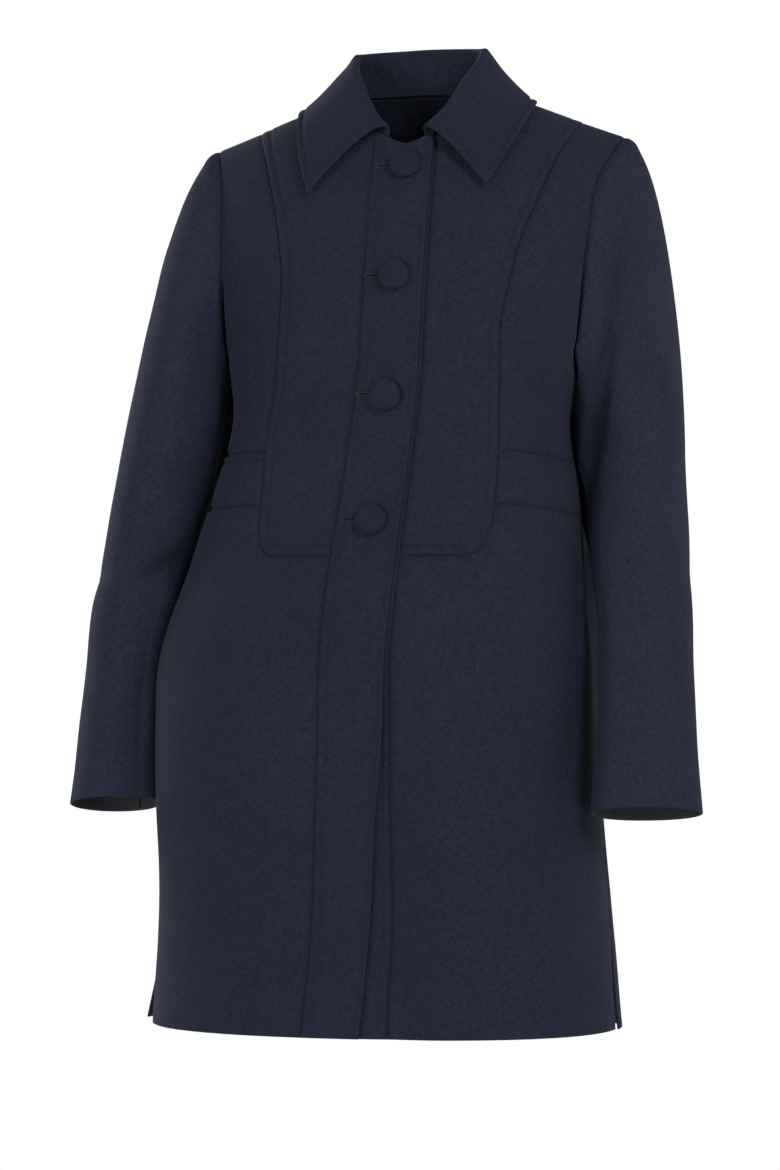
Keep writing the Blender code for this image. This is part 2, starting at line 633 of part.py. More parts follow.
def collar_patch():
    """Turn-down collar: a stand from the neckline, rolled over into the fall."""
    back = np.degrees(np.linspace(0.0, math.pi / 2, NECK_STEPS + 1))
    first = math.degrees(math.asin(BAND_TOP_OFFSET / NECK_HALF))
    front = 180.0 - np.linspace(90.0, first, NECK_STEPS + 1)[1:]
    half = np.concatenate([back, front, [COLLAR[-1].angle]])
    angle = np.concatenate([half[:0:-1], half])
    sign = np.concatenate([-np.ones(len(half) - 1), np.ones(len(half))])
    column = {name: smooth_column(COLLAR, "angle", name, angle) for name in Station._fields[1:]}
    across = NECK_HALF * np.sin(np.radians(angle))
    ahead = angle > 90.0
    level = np.where(ahead, neck_level(across, NECK_FRONT), neck_level(across, NECK_BACK))
    turn = turn_at(across, level)
    seam, seam_normal = on_body(sign * np.where(ahead, turn, 180.0 - turn), level)
    way = np.gradient(seam, axis=0)
    away = np.stack([-way[:, 1], way[:, 0], np.zeros(len(way))], axis=1)
    away /= np.linalg.norm(away, axis=1, keepdims=True)
    up = np.array([0.0, 0.0, 1.0])
    foot = seam - away * SEAM_GAP * 2 + up * SEAM_GAP
    top = foot + up * column["stand"][:, None] - away * column["inward"][:, None]
    edge_level = 1.0 - np.abs(column["over"])
    shift = sign * COLLAR_SHIFT * ease(COLLAR_SHIFT_START, COLLAR[-1].angle, angle)
    edge_turn = turn_at(column["across"] - shift, edge_level)
    edge_turn = sign * np.where(column["over"] < 0, edge_turn, 180.0 - edge_turn)
    edge, lie = on_body(edge_turn, edge_level, column["clear"])
    drop = edge - top
    glide = drop - lie * np.sum(drop * lie, axis=1, keepdims=True)
    glide /= np.linalg.norm(glide, axis=1, keepdims=True)
    glide *= 0.9 * np.linalg.norm(drop, axis=1, keepdims=True)
    upright = np.clip(column["stand"] / COLLAR_FULL_STAND, 0.0, 1.0)[:, None]
    along = (top - foot) / np.linalg.norm(top - foot, axis=1, keepdims=True)
    rise = along * upright + seam_normal * (1.0 - upright)
    rise *= column["roll"][:, None] / np.linalg.norm(rise, axis=1, keepdims=True)
    lines = [foot + (top - foot) * k / STAND_STEPS for k in range(STAND_STEPS + 1)]
    bow = np.where(sign < 0, COLLAR_BOW_RIGHT, COLLAR_BOW_LEFT)
    bow = bow * ease(COLLAR_BOW_START, COLLAR[-1].angle, angle)
    aside = up - lie * (lie @ up)[:, None]
    aside *= bow[:, None] / np.linalg.norm(aside, axis=1, keepdims=True)
    for share in FALL_STEPS:
        lines.append(hermite(top, rise, edge, glide, share) + aside * math.sin(math.pi * share))
    under = np.array(lines)
    normals = np.cross(np.gradient(under, axis=1), np.gradient(under, axis=0))
    normals /= np.linalg.norm(normals, axis=-1, keepdims=True)
    return under + COLLAR_WALL * normals, normals


def covered_button(name, place, finish, collection):
    """Domed covered button with its shank, set on the over band."""
    work = bmesh.new()
    profile = [work.verts.new((row.radius, 0.0, row.rise)) for row in BUTTON_PROFILE]
    edges = [work.edges.new(pair) for pair in zip(profile, profile[1:])]
    bmesh.ops.spin(
        work, geom=profile + edges, axis=(0, 0, 1), cent=(0, 0, 0), angle=2 * math.pi, steps=BUTTON_SEGMENTS
    )
    bmesh.ops.remove_doubles(work, verts=work.verts, dist=0.00001)
    level = level_at(place.across, place.height)
    turn = turn_at(place.across, level)
    normal = body_normal(turn, level)
    seat = body_point(turn, level) + normal * (LAP + SEAM_GAP)
    level_way = np.cross([0.0, 0.0, 1.0], normal)
    level_way /= np.linalg.norm(level_way)
    upright = np.cross(normal, level_way)
    for vert in work.verts:
        x, y, z = vert.co
        vert.co = seat + x * level_way + y * upright + z * normal
    return finish_mesh(name, work, finish, collection)


def clear_scene():
    """Removes what the file opened with."""
    for item in list(bpy.data.objects):
        bpy.data.objects.remove(item, do_unlink=True)


def build():
    """Builds every piece of the coat."""
    clear_scene()
    collection = bpy.data.collections.new(OBJECT_NAME)
    bpy.context.scene.collection.children.link(collection)
    navy = (0.0185, 0.0215, 0.0360)

    def sew(name, patches, wall=WALL):
        """One piece of cloth with its own wool material."""
        return sew_piece(name, patches, wall, cloth_finish("wool_" + name, navy, 0.9), collection)

    for side in ("right", "left"):
        sew(side + "_bib", [bib_patch(side)])
        sew(side + "_side_front", [side_front_patch(side)])
        sew(side + "_waist_inset", [waist_patch(side)])
        sew(side + "_front_skirt", skirt_patches(side))
        points, normals = sleeve_tube(side)
        count = points.shape[1]
        upper = [k % count for k in range(UPPER_SLEEVE_BACK, count + UPPER_SLEEVE_FRONT + 1)]
        under = list(range(UPPER_SLEEVE_FRONT, UPPER_SLEEVE_BACK + 1))
        sew(side + "_upper_sleeve", [(points[:, upper], normals[:, upper])])
        sew(side + "_under_sleeve", [(points[:, under], normals[:, under])])
    sew("over_band", [band_patch("right")])
    sew("under_band", [band_patch("left")])
    sew("back", [back_patch()])
    sew("collar", [collar_patch()], COLLAR_WALL)
    for number, place in enumerate(BUTTONS, start=1):
        name = f"button_{number}"
        covered_button(name, place, cloth_finish("cover_" + name, navy, 0.85), collection)


build()
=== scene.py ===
"""Looks of the wool coat: cloth shells with seams and creases, sewing, covered buttons, light and camera."""
import logging
import math
from dataclasses import dataclass, field
from enum import Enum
from typing import NamedTuple, Sequence

import bpy
import numpy as np
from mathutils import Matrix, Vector
from mathutils.kdtree import KDTree


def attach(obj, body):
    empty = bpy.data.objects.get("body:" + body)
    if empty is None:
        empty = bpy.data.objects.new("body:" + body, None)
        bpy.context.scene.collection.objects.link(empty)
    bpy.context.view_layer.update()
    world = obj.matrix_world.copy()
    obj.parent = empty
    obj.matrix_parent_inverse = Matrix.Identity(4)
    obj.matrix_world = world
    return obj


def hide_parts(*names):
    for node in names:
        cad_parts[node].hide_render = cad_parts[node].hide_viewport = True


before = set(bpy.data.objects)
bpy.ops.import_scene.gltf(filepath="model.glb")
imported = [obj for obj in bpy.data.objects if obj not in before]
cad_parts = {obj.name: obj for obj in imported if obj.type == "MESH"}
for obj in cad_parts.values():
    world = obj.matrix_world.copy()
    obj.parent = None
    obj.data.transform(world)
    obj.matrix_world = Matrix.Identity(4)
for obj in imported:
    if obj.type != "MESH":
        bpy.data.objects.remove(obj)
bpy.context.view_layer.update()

LOG = logging.getLogger("wool_coat")
Array = np.ndarray
Patch = tuple[Array, Array]

WALL = 0.0024
COLLAR_WALL = 0.0034
SEAM_GAP = 0.0003
LAP = 0.0006
RIM = 0.0011
MEET = 0.0003
COLLAR_RIM = 0.0017
RIM_ANGLES = (40.0, 90.0, 140.0)
MITRE_LIMIT = 1.4
SAME_POINT = 1e-5
TURN_STEP = 0.2
LEVEL_STEP = 0.002
FRONT_SPLIT = 0.004
BACK_SPLIT = 0.14
CHEST_ROWS = 58
SKIRT_STEP = 0.0058


class Side(Enum):
    """Side of the coat, as its wearer has it."""

    RIGHT = -1.0
    LEFT = 1.0

    @property
    def label(self) -> str:
        """Word that the names of this side's pieces start with."""
        return self.name.lower()


class Group(Enum):
    """Pieces that share their creases."""

    BODY = "body"
    RIGHT_SLEEVE = "right sleeve"
    LEFT_SLEEVE = "left sleeve"
    COLLAR = "collar"


class Facing(Enum):
    """Side that a crease shows on: the axis it is read across, the axis it faces and which way."""

    FRONT = (0, 1, -1.0)
    BACK = (0, 1, 1.0)
    OUT_RIGHT = (1, 0, -1.0)
    OUT_LEFT = (1, 0, 1.0)


class Section(NamedTuple):
    """Level section of the body form."""

    height: float
    half_width: float
    front: float
    back: float
    lean: float
    twist: float


class SeamRow(NamedTuple):
    """Offset of a seam from the centre front at a height, on each side."""

    height: float
    right: float
    left: float


class FullnessRow(NamedTuple):
    """How far the back stands out behind the wearer's left side seam at a height."""

    height: float
    out: float


class ArmRow(NamedTuple):
    """Section across a sleeve."""

    height: float
    x: float
    y: float
    half_width: float
    half_depth: float
    pitch: float
    under: float
    fold: float
    box: float


class CapReach(NamedTuple):
    """How far a sleeve's cap stands out, drops and falls."""

    out: float
    drop: float
    fall: float


class Station(NamedTuple):
    """Section of the collar at an angle round the neck, from the centre back."""

    angle: float
    stand: float
    inward: float
    across: float
    over: float
    clear: float
    roll: float


class ButtonPlace(NamedTuple):
    """Where a button sits on the over band."""

    height: float
    across: float


class ProfileRow(NamedTuple):
    """Point of the button's profile."""

    radius: float
    rise: float


class Crease(NamedTuple):
    """Soft trough, or ridge where the depth is negative, between two points seen from one side."""

    across_0: float
    height_0: float
    across_1: float
    height_1: float
    depth: float
    width: float
    bow: float = 0.06


class Swell(NamedTuple):
    """Slow wave of the cloth: its height, its rates along x, y and z, and its start."""

    height: float
    rate_x: float
    rate_y: float
    rate_z: float
    start: float


class LampRow(NamedTuple):
    """One soft lamp: where it hangs, the width of its face and its watts."""

    name: str
    x: float
    y: float
    z: float
    size: float
    power: float


class Cut(NamedTuple):
    """Flat size that a piece was cut to, how it is held and what it hangs from."""

    width: float
    length: float
    area: float
    held: str
    rests_on: tuple[str, ...]


BODY = (
    Section(-0.891, 0.2285, 0.162, 0.150, -0.0276, 15.5),
    Section(-0.772, 0.2205, 0.154, 0.146, -0.0292, 11.8),
    Section(-0.678, 0.2165, 0.149, 0.142, -0.0348, 9.7),
    Section(-0.607, 0.2150, 0.145, 0.139, -0.0371, 8.6),
    Section(-0.532, 0.2100, 0.140, 0.135, -0.0369, 8.5),
    Section(-0.450, 0.1925, 0.133, 0.128, -0.0270, 8.8),
    Section(-0.373, 0.1765, 0.128, 0.121, -0.0176, 8.6),
    Section(-0.306, 0.1637, 0.1315, 0.1185, -0.0120, 7.0),
    Section(-0.285, 0.1650, 0.1343, 0.1197, -0.0103, 6.6),
    Section(-0.265, 0.1690, 0.135, 0.120, -0.0090, 6.4),
)
BACK_FULLNESS = (
    FullnessRow(-0.891, 0.000),
    FullnessRow(-0.640, 0.019),
    FullnessRow(-0.570, 0.033),
    FullnessRow(-0.510, 0.036),
    FullnessRow(-0.470, 0.035),
    FullnessRow(-0.430, 0.033),
    FullnessRow(-0.408, 0.025),
    FullnessRow(-0.385, 0.004),
    FullnessRow(-0.360, 0.000),
    FullnessRow(-0.265, 0.000),
)
BIB_SEAM = (
    SeamRow(-0.4385, 0.1110, 0.1095),
    SeamRow(-0.4042, 0.1129, 0.1125),
    SeamRow(-0.3661, 0.1148, 0.1112),
    SeamRow(-0.3280, 0.1161, 0.1077),
    SeamRow(-0.2901, 0.1137, 0.1040),
    SeamRow(-0.2523, 0.1120, 0.1018),
    SeamRow(-0.2141, 0.1115, 0.1016),
    SeamRow(-0.1757, 0.1122, 0.1075),
    SeamRow(-0.1365, 0.1187, 0.1155),
    SeamRow(-0.0965, 0.1284, 0.1292),
    SeamRow(-0.0549, 0.1424, 0.1431),
    SeamRow(-0.0211, 0.1545, 0.1590),
)
ARMHOLE = (
    SeamRow(-0.233, 0.1705, 0.1687),
    SeamRow(-0.190, 0.1757, 0.1715),
    SeamRow(-0.1315, 0.1805, 0.1752),
    SeamRow(-0.0813, 0.1868, 0.1805),
    SeamRow(-0.0398, 0.1964, 0.1985),
)
BAND_SEAM = (
    SeamRow(-0.884, 0.0400, 0.0425),
    SeamRow(-0.722, 0.0375, 0.0370),
    SeamRow(-0.583, 0.0345, 0.0330),
    SeamRow(-0.4385, 0.0362, 0.0312),
    SeamRow(-0.404, 0.0354, 0.0306),
    SeamRow(-0.300, 0.0325, 0.0303),
    SeamRow(-0.174, 0.0308, 0.0301),
    SeamRow(-0.050, 0.0322, 0.0293),
)
OVER_BAND_EDGE = (
    SeamRow(-0.889, 0.0175, 0.0),
    SeamRow(-0.722, 0.0200, 0.0),
    SeamRow(-0.583, 0.0275, 0.0),
    SeamRow(-0.404, 0.0260, 0.0),
    SeamRow(-0.174, 0.0254, 0.0),
    SeamRow(-0.050, 0.0255, 0.0),
)
LEFT_ARM = (
    ArmRow(-0.683, 0.2195, -0.102, 0.0535, 0.0410, 12.0, 0.0000, 0.000, 0.004),
    ArmRow(-0.612, 0.2200, -0.088, 0.0480, 0.0485, 12.0, 0.0000, 0.000, 0.008),
    ArmRow(-0.545, 0.2205, -0.070, 0.0460, 0.0525, 10.0, 0.0000, 0.000, 0.010),
    ArmRow(-0.492, 0.2200, -0.050, 0.0462, 0.0550, 7.0, 0.0000, 0.000, 0.010),
    ArmRow(-0.434, 0.2172, -0.026, 0.0480, 0.0590, 3.0, 0.0060, 0.002, 0.007),
    ArmRow(-0.387, 0.2175, -0.006, 0.0466, 0.0630, 1.0, 0.0235, 0.004, 0.003),
    ArmRow(-0.340, 0.2172, 0.006, 0.0453, 0.0650, 0.0, 0.0360, 0.017, 0.000),
)
RIGHT_ARM = (
    ArmRow(-0.681, -0.2940, 0.055, 0.0445, 0.0490, 11.5, 0.000, 0.0, 0.009),
    ArmRow(-0.610, -0.2906, 0.065, 0.0401, 0.0540, 8.0, 0.000, 0.0, 0.013),
    ArmRow(-0.545, -0.2849, 0.068, 0.0384, 0.0565, 4.0, 0.000, 0.0, 0.013),
    ArmRow(-0.492, -0.2754, 0.062, 0.0415, 0.0575, 2.0, 0.004, 0.0, 0.010),
    ArmRow(-0.434, -0.2600, 0.050, 0.0435, 0.0590, 1.0, 0.010, 0.0, 0.006),
    ArmRow(-0.387, -0.2490, 0.034, 0.0465, 0.0620, 0.0, 0.017, 0.0, 0.002),
    ArmRow(-0.344, -0.2395, 0.014, 0.0475, 0.0650, 0.0, 0.022, 0.0, 0.000),
)
COLLAR = (
    Station(0, 0.040, 0.003, 0.000, 0.42, 0.003, 0.034),
    Station(14, 0.040, 0.0035, 0.0225, 0.42, 0.003, 0.034),
    Station(50, 0.039, 0.006, 0.078, 0.29, 0.004, 0.034),
    Station(90, 0.036, 0.013, 0.1125, -0.03, 0.002, 0.034),
    Station(112, 0.0276, 0.011, 0.111, -0.21, 0.004, 0.034),
    Station(130, 0.021, 0.009, 0.104, -0.36, 0.005, 0.036),
    Station(147, 0.0105, 0.006, 0.094, -0.47, 0.005, 0.040),
    Station(166, 0.004, 0.001, 0.083, -0.56, 0.006, 0.045),
)
BUTTONS = (
    ButtonPlace(-0.0677, 0.0015),
    ButtonPlace(-0.1738, -0.0010),
    ButtonPlace(-0.2861, -0.0028),
    ButtonPlace(-0.4038, -0.0009),
)
BUTTON_PROFILE = (
    ProfileRow(0.0, 0.0),
    ProfileRow(0.0040, 0.0),
    ProfileRow(0.0040, 0.0021),
    ProfileRow(0.0100, 0.0022),
    ProfileRow(0.0128, 0.0024),
    ProfileRow(0.0140, 0.0029),
    ProfileRow(0.0146, 0.0037),
    ProfileRow(0.0148, 0.0047),
    ProfileRow(0.0146, 0.0058),
    ProfileRow(0.0139, 0.0069),
    ProfileRow(0.0126, 0.0079),
    ProfileRow(0.0106, 0.0086),
    ProfileRow(0.0080, 0.0091),
    ProfileRow(0.0052, 0.0094),
    ProfileRow(0.0026, 0.0096),
    ProfileRow(0.0, 0.0096),
)
CREASES = {
    (Group.RIGHT_SLEEVE, Facing.FRONT): (
        Crease(-0.202, -0.428, -0.260, -0.459, 0.0105, 0.0128),
        Crease(-0.250, -0.455, -0.274, -0.470, 0.0022, 0.0100),
        Crease(-0.215, -0.468, -0.262, -0.492, -0.0028, 0.0120),
        Crease(-0.226, -0.392, -0.262, -0.418, -0.0020, 0.0120),
        Crease(-0.207, -0.215, -0.226, -0.330, 0.0014, 0.0110),
    ),
    (Group.RIGHT_SLEEVE, Facing.OUT_LEFT): (
        Crease(0.006, -0.300, 0.030, -0.560, -0.0028, 0.0150, 0.0),
        Crease(0.028, -0.430, 0.022, -0.800, -0.0052, 0.0150, 0.0),
    ),
    (Group.LEFT_SLEEVE, Facing.FRONT): (
        Crease(0.200, -0.135, 0.187, -0.250, 0.0080, 0.0078, 0.0),
        Crease(0.189, -0.218, 0.170, -0.330, 0.0110, 0.0078, 0.0),
        Crease(0.1745, -0.300, 0.160, -0.392, 0.0105, 0.0090, 0.0),
        Crease(0.214, -0.150, 0.204, -0.270, -0.0016, 0.0120),
        Crease(0.186, -0.470, 0.226, -0.500, 0.0016, 0.0110),
    ),
    (Group.LEFT_SLEEVE, Facing.BACK): (
        Crease(0.180, -0.395, 0.238, -0.432, 0.0032, 0.0100),
        Crease(0.192, -0.452, 0.250, -0.438, 0.0026, 0.0110),
        Crease(0.205, -0.160, 0.196, -0.300, 0.0022, 0.0120),
    ),
    (Group.RIGHT_SLEEVE, Facing.BACK): (
        Crease(-0.232, -0.405, -0.282, -0.447, 0.0034, 0.0100),
        Crease(-0.244, -0.468, -0.290, -0.452, 0.0024, 0.0110),
        Crease(-0.208, -0.170, -0.214, -0.295, 0.0022, 0.0120),
    ),
    (Group.RIGHT_SLEEVE, Facing.OUT_RIGHT): (
        Crease(0.010, -0.452, 0.070, -0.470, 0.0018, 0.0120),
    ),
    (Group.LEFT_SLEEVE, Facing.OUT_LEFT): (
        Crease(-0.045, -0.470, 0.020, -0.446, 0.0018, 0.0120),
    ),
    (Group.BODY, Facing.BACK): (
        Crease(-0.105, -0.560, -0.128, -0.880, 0.0042, 0.0200),
        Crease(0.040, -0.530, 0.052, -0.870, 0.0036, 0.0230),
        Crease(0.128, -0.600, 0.145, -0.885, 0.0030, 0.0180),
        Crease(-0.152, -0.150, -0.110, -0.255, 0.0026, 0.0130),
        Crease(0.150, -0.140, 0.112, -0.262, 0.0022, 0.0140),
        Crease(-0.090, -0.352, 0.020, -0.372, 0.0022, 0.0140),
    ),
    (Group.BODY, Facing.FRONT): (
        Crease(0.060, -0.600, 0.078, -0.880, 0.0012, 0.0240),
        Crease(-0.128, -0.640, -0.120, -0.885, 0.0010, 0.0260),
        Crease(0.150, -0.520, 0.128, -0.700, 0.0012, 0.0200),
    ),
}
SWELLS = (
    Swell(0.00045, 19.0, 0.0, 14.0, 1.1),
    Swell(0.00035, 31.0, 17.0, -23.0, 0.4),
    Swell(0.00022, 0.0, 38.0, 47.0, 2.2),
    Swell(0.00016, 83.0, 52.0, 61.0, 0.0),
)

LAMPS = (
    LampRow("key_lamp", 1.9, -2.9, 1.5, 1.3, 62.0),
    LampRow("fill_lamp", -2.4, -2.6, 0.3, 1.8, 37.0),
    LampRow("right_lamp", 3.2, -0.4, 0.4, 1.8, 20.0),
    LampRow("right_rim_lamp", 2.6, 2.0, 0.8, 1.8, 20.0),
    LampRow("left_rim_lamp", -2.6, 2.0, 0.8, 1.8, 64.0),
    LampRow("low_lamp", -1.4, -3.3, -1.1, 1.4, 20.0),
    LampRow("top_lamp", 0.0, -0.6, 3.0, 1.8, 8.0),
)

NAP_STITCH = (0.0, 0.0012, 0.0028, 0.0054, 0.0068, 0.0077, 0.0085, 0.0093, 0.0102, 0.0120, 0.0150, 0.0185)
PLAIN_EDGE = (0.0, 0.003, 0.007, 0.012)
EDGE_STITCH = (0.0, 0.0010, 0.0020, 0.0032, 0.0040, 0.0047, 0.0054, 0.0064, 0.0082, 0.0110)
COLLAR_STITCH = (0.0, 0.0020, 0.0038, 0.0049, 0.0057, 0.0065, 0.0073, 0.0083, 0.0105, 0.0140)


def smooth_column(rows: Sequence[NamedTuple], key: str, column: str, at: Array) -> Array:
    """Reads a table's named column, eased between its rows.

    Args:
        rows: The table, in rising order of its key.
        key: Column that the rows are ordered by.
        column: Column to read.
        at: Key values to read it at.

    Returns:
        The column's values there.
    """
    keys = np.array([getattr(row, key) for row in rows])
    values = np.array([getattr(row, column) for row in rows])
    slopes = np.gradient(values, keys)
    at = np.clip(np.asarray(at, float), keys[0], keys[-1])
    place = np.clip(np.searchsorted(keys, at) - 1, 0, len(keys) - 2)
    span = keys[place + 1] - keys[place]
    share = (at - keys[place]) / span
    return hermite(values[place], slopes[place] * span, values[place + 1], slopes[place + 1] * span, share)


def hermite(start: Array, start_pull: Array, end: Array, end_pull: Array, share: Array) -> Array:
    """Runs a cubic between two ends.

    Args:
        start: Start of the run.
        start_pull: Pull at the start.
        end: End of the run.
        end_pull: Pull at the end.
        share: How far along, from 0 to 1.

    Returns:
        The point or value there.
    """
    return (
        (2 * share**3 - 3 * share**2 + 1) * start
        + (share**3 - 2 * share**2 + share) * start_pull
        + (3 * share**2 - 2 * share**3) * end
        + (share**3 - share**2) * end_pull
    )


def ease(low: float, high: float, value: Array) -> Array:
    """Steps smoothly from 0 at one value to 1 at another.

    Args:
        low: Value where the step starts.
        high: Value where it ends.
        value: Values to step.

    Returns:
        Shares from 0 to 1.
    """
    share = np.clip((np.asarray(value, float) - low) / (high - low), 0.0, 1.0)
    return share * share * (3.0 - 2.0 * share)


def unit(vectors: Array) -> Array:
    """Vectors brought to length one."""
    return vectors / np.maximum(np.linalg.norm(vectors, axis=-1, keepdims=True), 1e-12)


def spread(
    start: float, stop: float, step: float, first: Sequence[float] = (0.0,), last: Sequence[float] = (0.0,)
) -> Array:
    """Spaces grid lines between two values, closer near the ends where sewing needs it.

    Args:
        start: First line.
        stop: Last line.
        step: Spacing in the middle.
        first: Distances of close lines from the start.
        last: Distances of close lines from the stop.

    Returns:
        The lines in rising order.
    """
    low = start + np.array(first)
    high = stop - np.array(last)[::-1]
    count = max(2, int(math.ceil((high[0] - low[-1]) / step)))
    return np.concatenate([low, np.linspace(low[-1], high[0], count + 1)[1:-1], high])


def fill(start: Array, end: Array, spaces: int) -> Array:
    """Fills each row of a grid between its close lines.

    Args:
        start: Close lines where the rows start.
        end: Close lines where they end.
        spaces: Number of even spaces between them.

    Returns:
        The rows in full.
    """
    share = np.linspace(0.0, 1.0, spaces + 1)[1:-1]
    return np.concatenate([start, start[:, -1:] + share * (end[:, :1] - start[:, -1:]), end], axis=1)


def along(points: Array, axis: int, from_end: bool = False) -> Array:
    """Measures the way along a grid's lines.

    Args:
        points: Grid of points.
        axis: 0 to measure down the columns, 1 along the rows.
        from_end: Whether to measure from the last line back.

    Returns:
        The distance of each grid point from the border.
    """
    points = np.flip(points, axis) if from_end else points
    steps = np.linalg.norm(np.diff(points, axis=axis), axis=-1)
    start = np.zeros_like(np.take(steps, [0], axis=axis))
    way = np.concatenate([start, np.cumsum(steps, axis=axis)], axis=axis)
    return np.flip(way, axis) if from_end else way


def resample(points: Array, normals: Array, pitch: float) -> Patch:
    """Spaces a line's points evenly.

    Args:
        points: Points of the line.
        normals: Outward directions at them.
        pitch: Spacing wanted.

    Returns:
        The new points and outward directions.
    """
    way = np.concatenate([[0.0], np.cumsum(np.linalg.norm(np.diff(points, axis=0), axis=1))])
    count = max(2, int(way[-1] / pitch))
    at = np.linspace(0.0, way[-1], count + 1)
    even = np.stack([np.interp(at, way, points[:, k]) for k in range(3)], axis=1)
    turned = np.stack([np.interp(at, way, normals[:, k]) for k in range(3)], axis=1)
    return even, unit(turned)


def search_tree(points: Array) -> KDTree:
    """Readies points for finding the nearest of them.

    Args:
        points: The points, numbered in their order.

    Returns:
        The search tree.
    """
    tree = KDTree(len(points))
    for number, point in enumerate(points):
        tree.insert(point, number)
    tree.balance()
    return tree


def ring_faces(rings: int, count: int) -> tuple[Array, Array, Array]:
    """Joins rings of points into a tube.

    Args:
        rings: Number of rings.
        count: Number of points on each.

    Returns:
        The number of each point, that of the next one on its ring, and the faces.
    """
    index = np.arange(rings * count).reshape(rings, count)
    turned = np.roll(index, -1, axis=1)
    return index, turned, np.stack([index[:-1], turned[:-1], turned[1:], index[1:]], axis=-1).reshape(-1, 4)


def link(name: str, data: bpy.types.ID) -> bpy.types.Object:
    """Puts an object into the scene.

    Args:
        name: Its name.
        data: Its mesh, lamp or camera.

    Returns:
        The object.
    """
    made = bpy.data.objects.new(name, data)
    bpy.context.scene.collection.objects.link(made)
    return made


@dataclass(frozen=True)
class BodyForm:
    """Hollow form of the coat's body, from its cut on a general figure."""

    hem: float = -0.891
    vent_top: float = -0.790
    bib_foot: float = -0.4385
    bib_corner: float = 0.021
    waist_foot: float = -0.3895
    waist_top: float = -0.3385
    underarm: float = -0.265
    neck_half: float = 0.075
    neck_point: float = 0.008
    neck_front: float = -0.046
    neck_back: float = 0.012
    neck_rounding: float = 0.020
    neck_curve: float = 1.4
    neck_stretch: float = 0.20
    shoulder_form: float = 0.2070
    shoulder_slope: float = 0.39
    shoulder_tilt: float = 0.028
    shoulder_lean: float = 0.0055
    shoulder_twist: float = 7.0
    squareness: float = 2.3
    fullness_start: float = 104.0
    fullness_peak: float = 129.0
    fullness_end: float = 172.0
    notch: float = 0.088
    under_band_reach: float = 0.022
    lap_drop: float = 0.0033
    lap_release: float = 0.055
    lap_fold: float = 0.006
    lap_fold_start: float = -0.460
    lap_fold_full: float = -0.640
    dip_right: float = 0.002
    dip_left: float = 0.008
    dip_start: float = 38.0
    dip_full: float = 86.0
    dip_end: float = 0.30
    vent_gap: float = 0.5
    vent_flare_right: float = 0.015
    vent_flare_left: float = 0.003
    seam_guess: float = 0.1
    seam_rounds: int = 8
    scoop_rows: int = 11
    armhole_rows: int = 50

    def read(self, column: str, height: Array) -> Array:
        """Column of the body's table at a height."""
        return smooth_column(BODY, "height", column, height)

    def ridge(self, across: Array) -> Array:
        """Gives the height of the shoulder line.

        Args:
            across: Offset from the centre.

        Returns:
            The height.
        """
        reach = np.sqrt(np.asarray(across, float) ** 2 + self.neck_rounding**2)
        neck_reach = math.hypot(self.neck_half, self.neck_rounding)
        return self.neck_point + self.shoulder_slope * (neck_reach - reach)

    def half_width(self, level: Array) -> Array:
        """Gives the half width of the form.

        Args:
            level: Level to read it at.

        Returns:
            The half width.
        """
        rise = np.clip(level, 0.0, 1.0)
        width = self.read("half_width", self.underarm + np.minimum(level, 0.0))
        return width + (self.shoulder_form - BODY[-1].half_width) * (1.0 - (1.0 - rise) ** 3)

    def height(self, across: Array, level: Array) -> Array:
        """Gives the height of a point before the shoulders are tilted.

        Args:
            across: Offset from the centre.
            level: Metres below the underarm if negative, or share of the way to the shoulder line.

        Returns:
            The height.
        """
        rise = np.sin(np.clip(level, 0.0, 1.0) * math.pi / 2)
        upper = self.underarm + (self.ridge(across) - self.underarm) * rise
        return np.where(np.asarray(level) < 0.0, self.underarm + np.minimum(level, 0.0), upper)

    def level(self, across: Array, height: Array) -> Array:
        """Gives the level of a point.

        Args:
            across: Offset from the centre.
            height: Height of the point.

        Returns:
            The level.
        """
        height = np.asarray(height, float)
        rise = np.clip((height - self.underarm) / (self.ridge(across) - self.underarm), 0.0, 1.0)
        return np.where(height < self.underarm, height - self.underarm, np.arcsin(rise) * 2 / math.pi)

    def fullness(self, turn: Array, height: Array) -> Array:
        """Gives how far the back stands out behind the side seams.

        Args:
            turn: Angle round the body.
            height: Height of the point.

        Returns:
            The offset to the wearer's left.
        """
        away = np.abs(turn)
        place = ease(self.fullness_start, self.fullness_peak, away)
        place = place * (1.0 - ease(self.fullness_peak, self.fullness_end, away))
        return np.where(turn < 0, 0.0, smooth_column(BACK_FULLNESS, "height", "out", height)) * place

    def point(self, turn: Array, level: Array) -> Array:
        """Gives a point of the cloth's outer face.

        Args:
            turn: Angle round the body, 0 at the centre front and +90 at the wearer's left side.
            level: Level of the point.

        Returns:
            The point.
        """
        level = np.asarray(level, float)
        height = self.underarm + np.minimum(level, 0.0)
        stand_out = self.fullness(np.asarray(turn, float), height)
        turn = np.radians(np.asarray(turn, float))
        rise = np.clip(level, 0.0, 1.0)
        power = 2.0 / self.squareness
        closing = np.cos(rise * math.pi / 2)
        front, back = (self.read(column, height) * closing for column in ("front", "back"))
        across = self.half_width(level) * np.sign(np.sin(turn)) * np.abs(np.sin(turn)) ** power + stand_out
        depth = np.where(np.cos(turn) > 0, -front, back) * np.abs(np.cos(turn)) ** power
        share = np.sin(rise * math.pi / 2)
        lean = self.read("lean", height) * (1 - share) + self.shoulder_lean * share
        twist = np.radians(self.read("twist", height) * (1 - share) + self.shoulder_twist * share)
        z = self.height(across, level) + self.shoulder_tilt * across * share
        x = lean + across * np.cos(twist) + depth * np.sin(twist)
        y = depth * np.cos(twist) - across * np.sin(twist)
        return np.stack(np.broadcast_arrays(x, y, z), axis=-1)

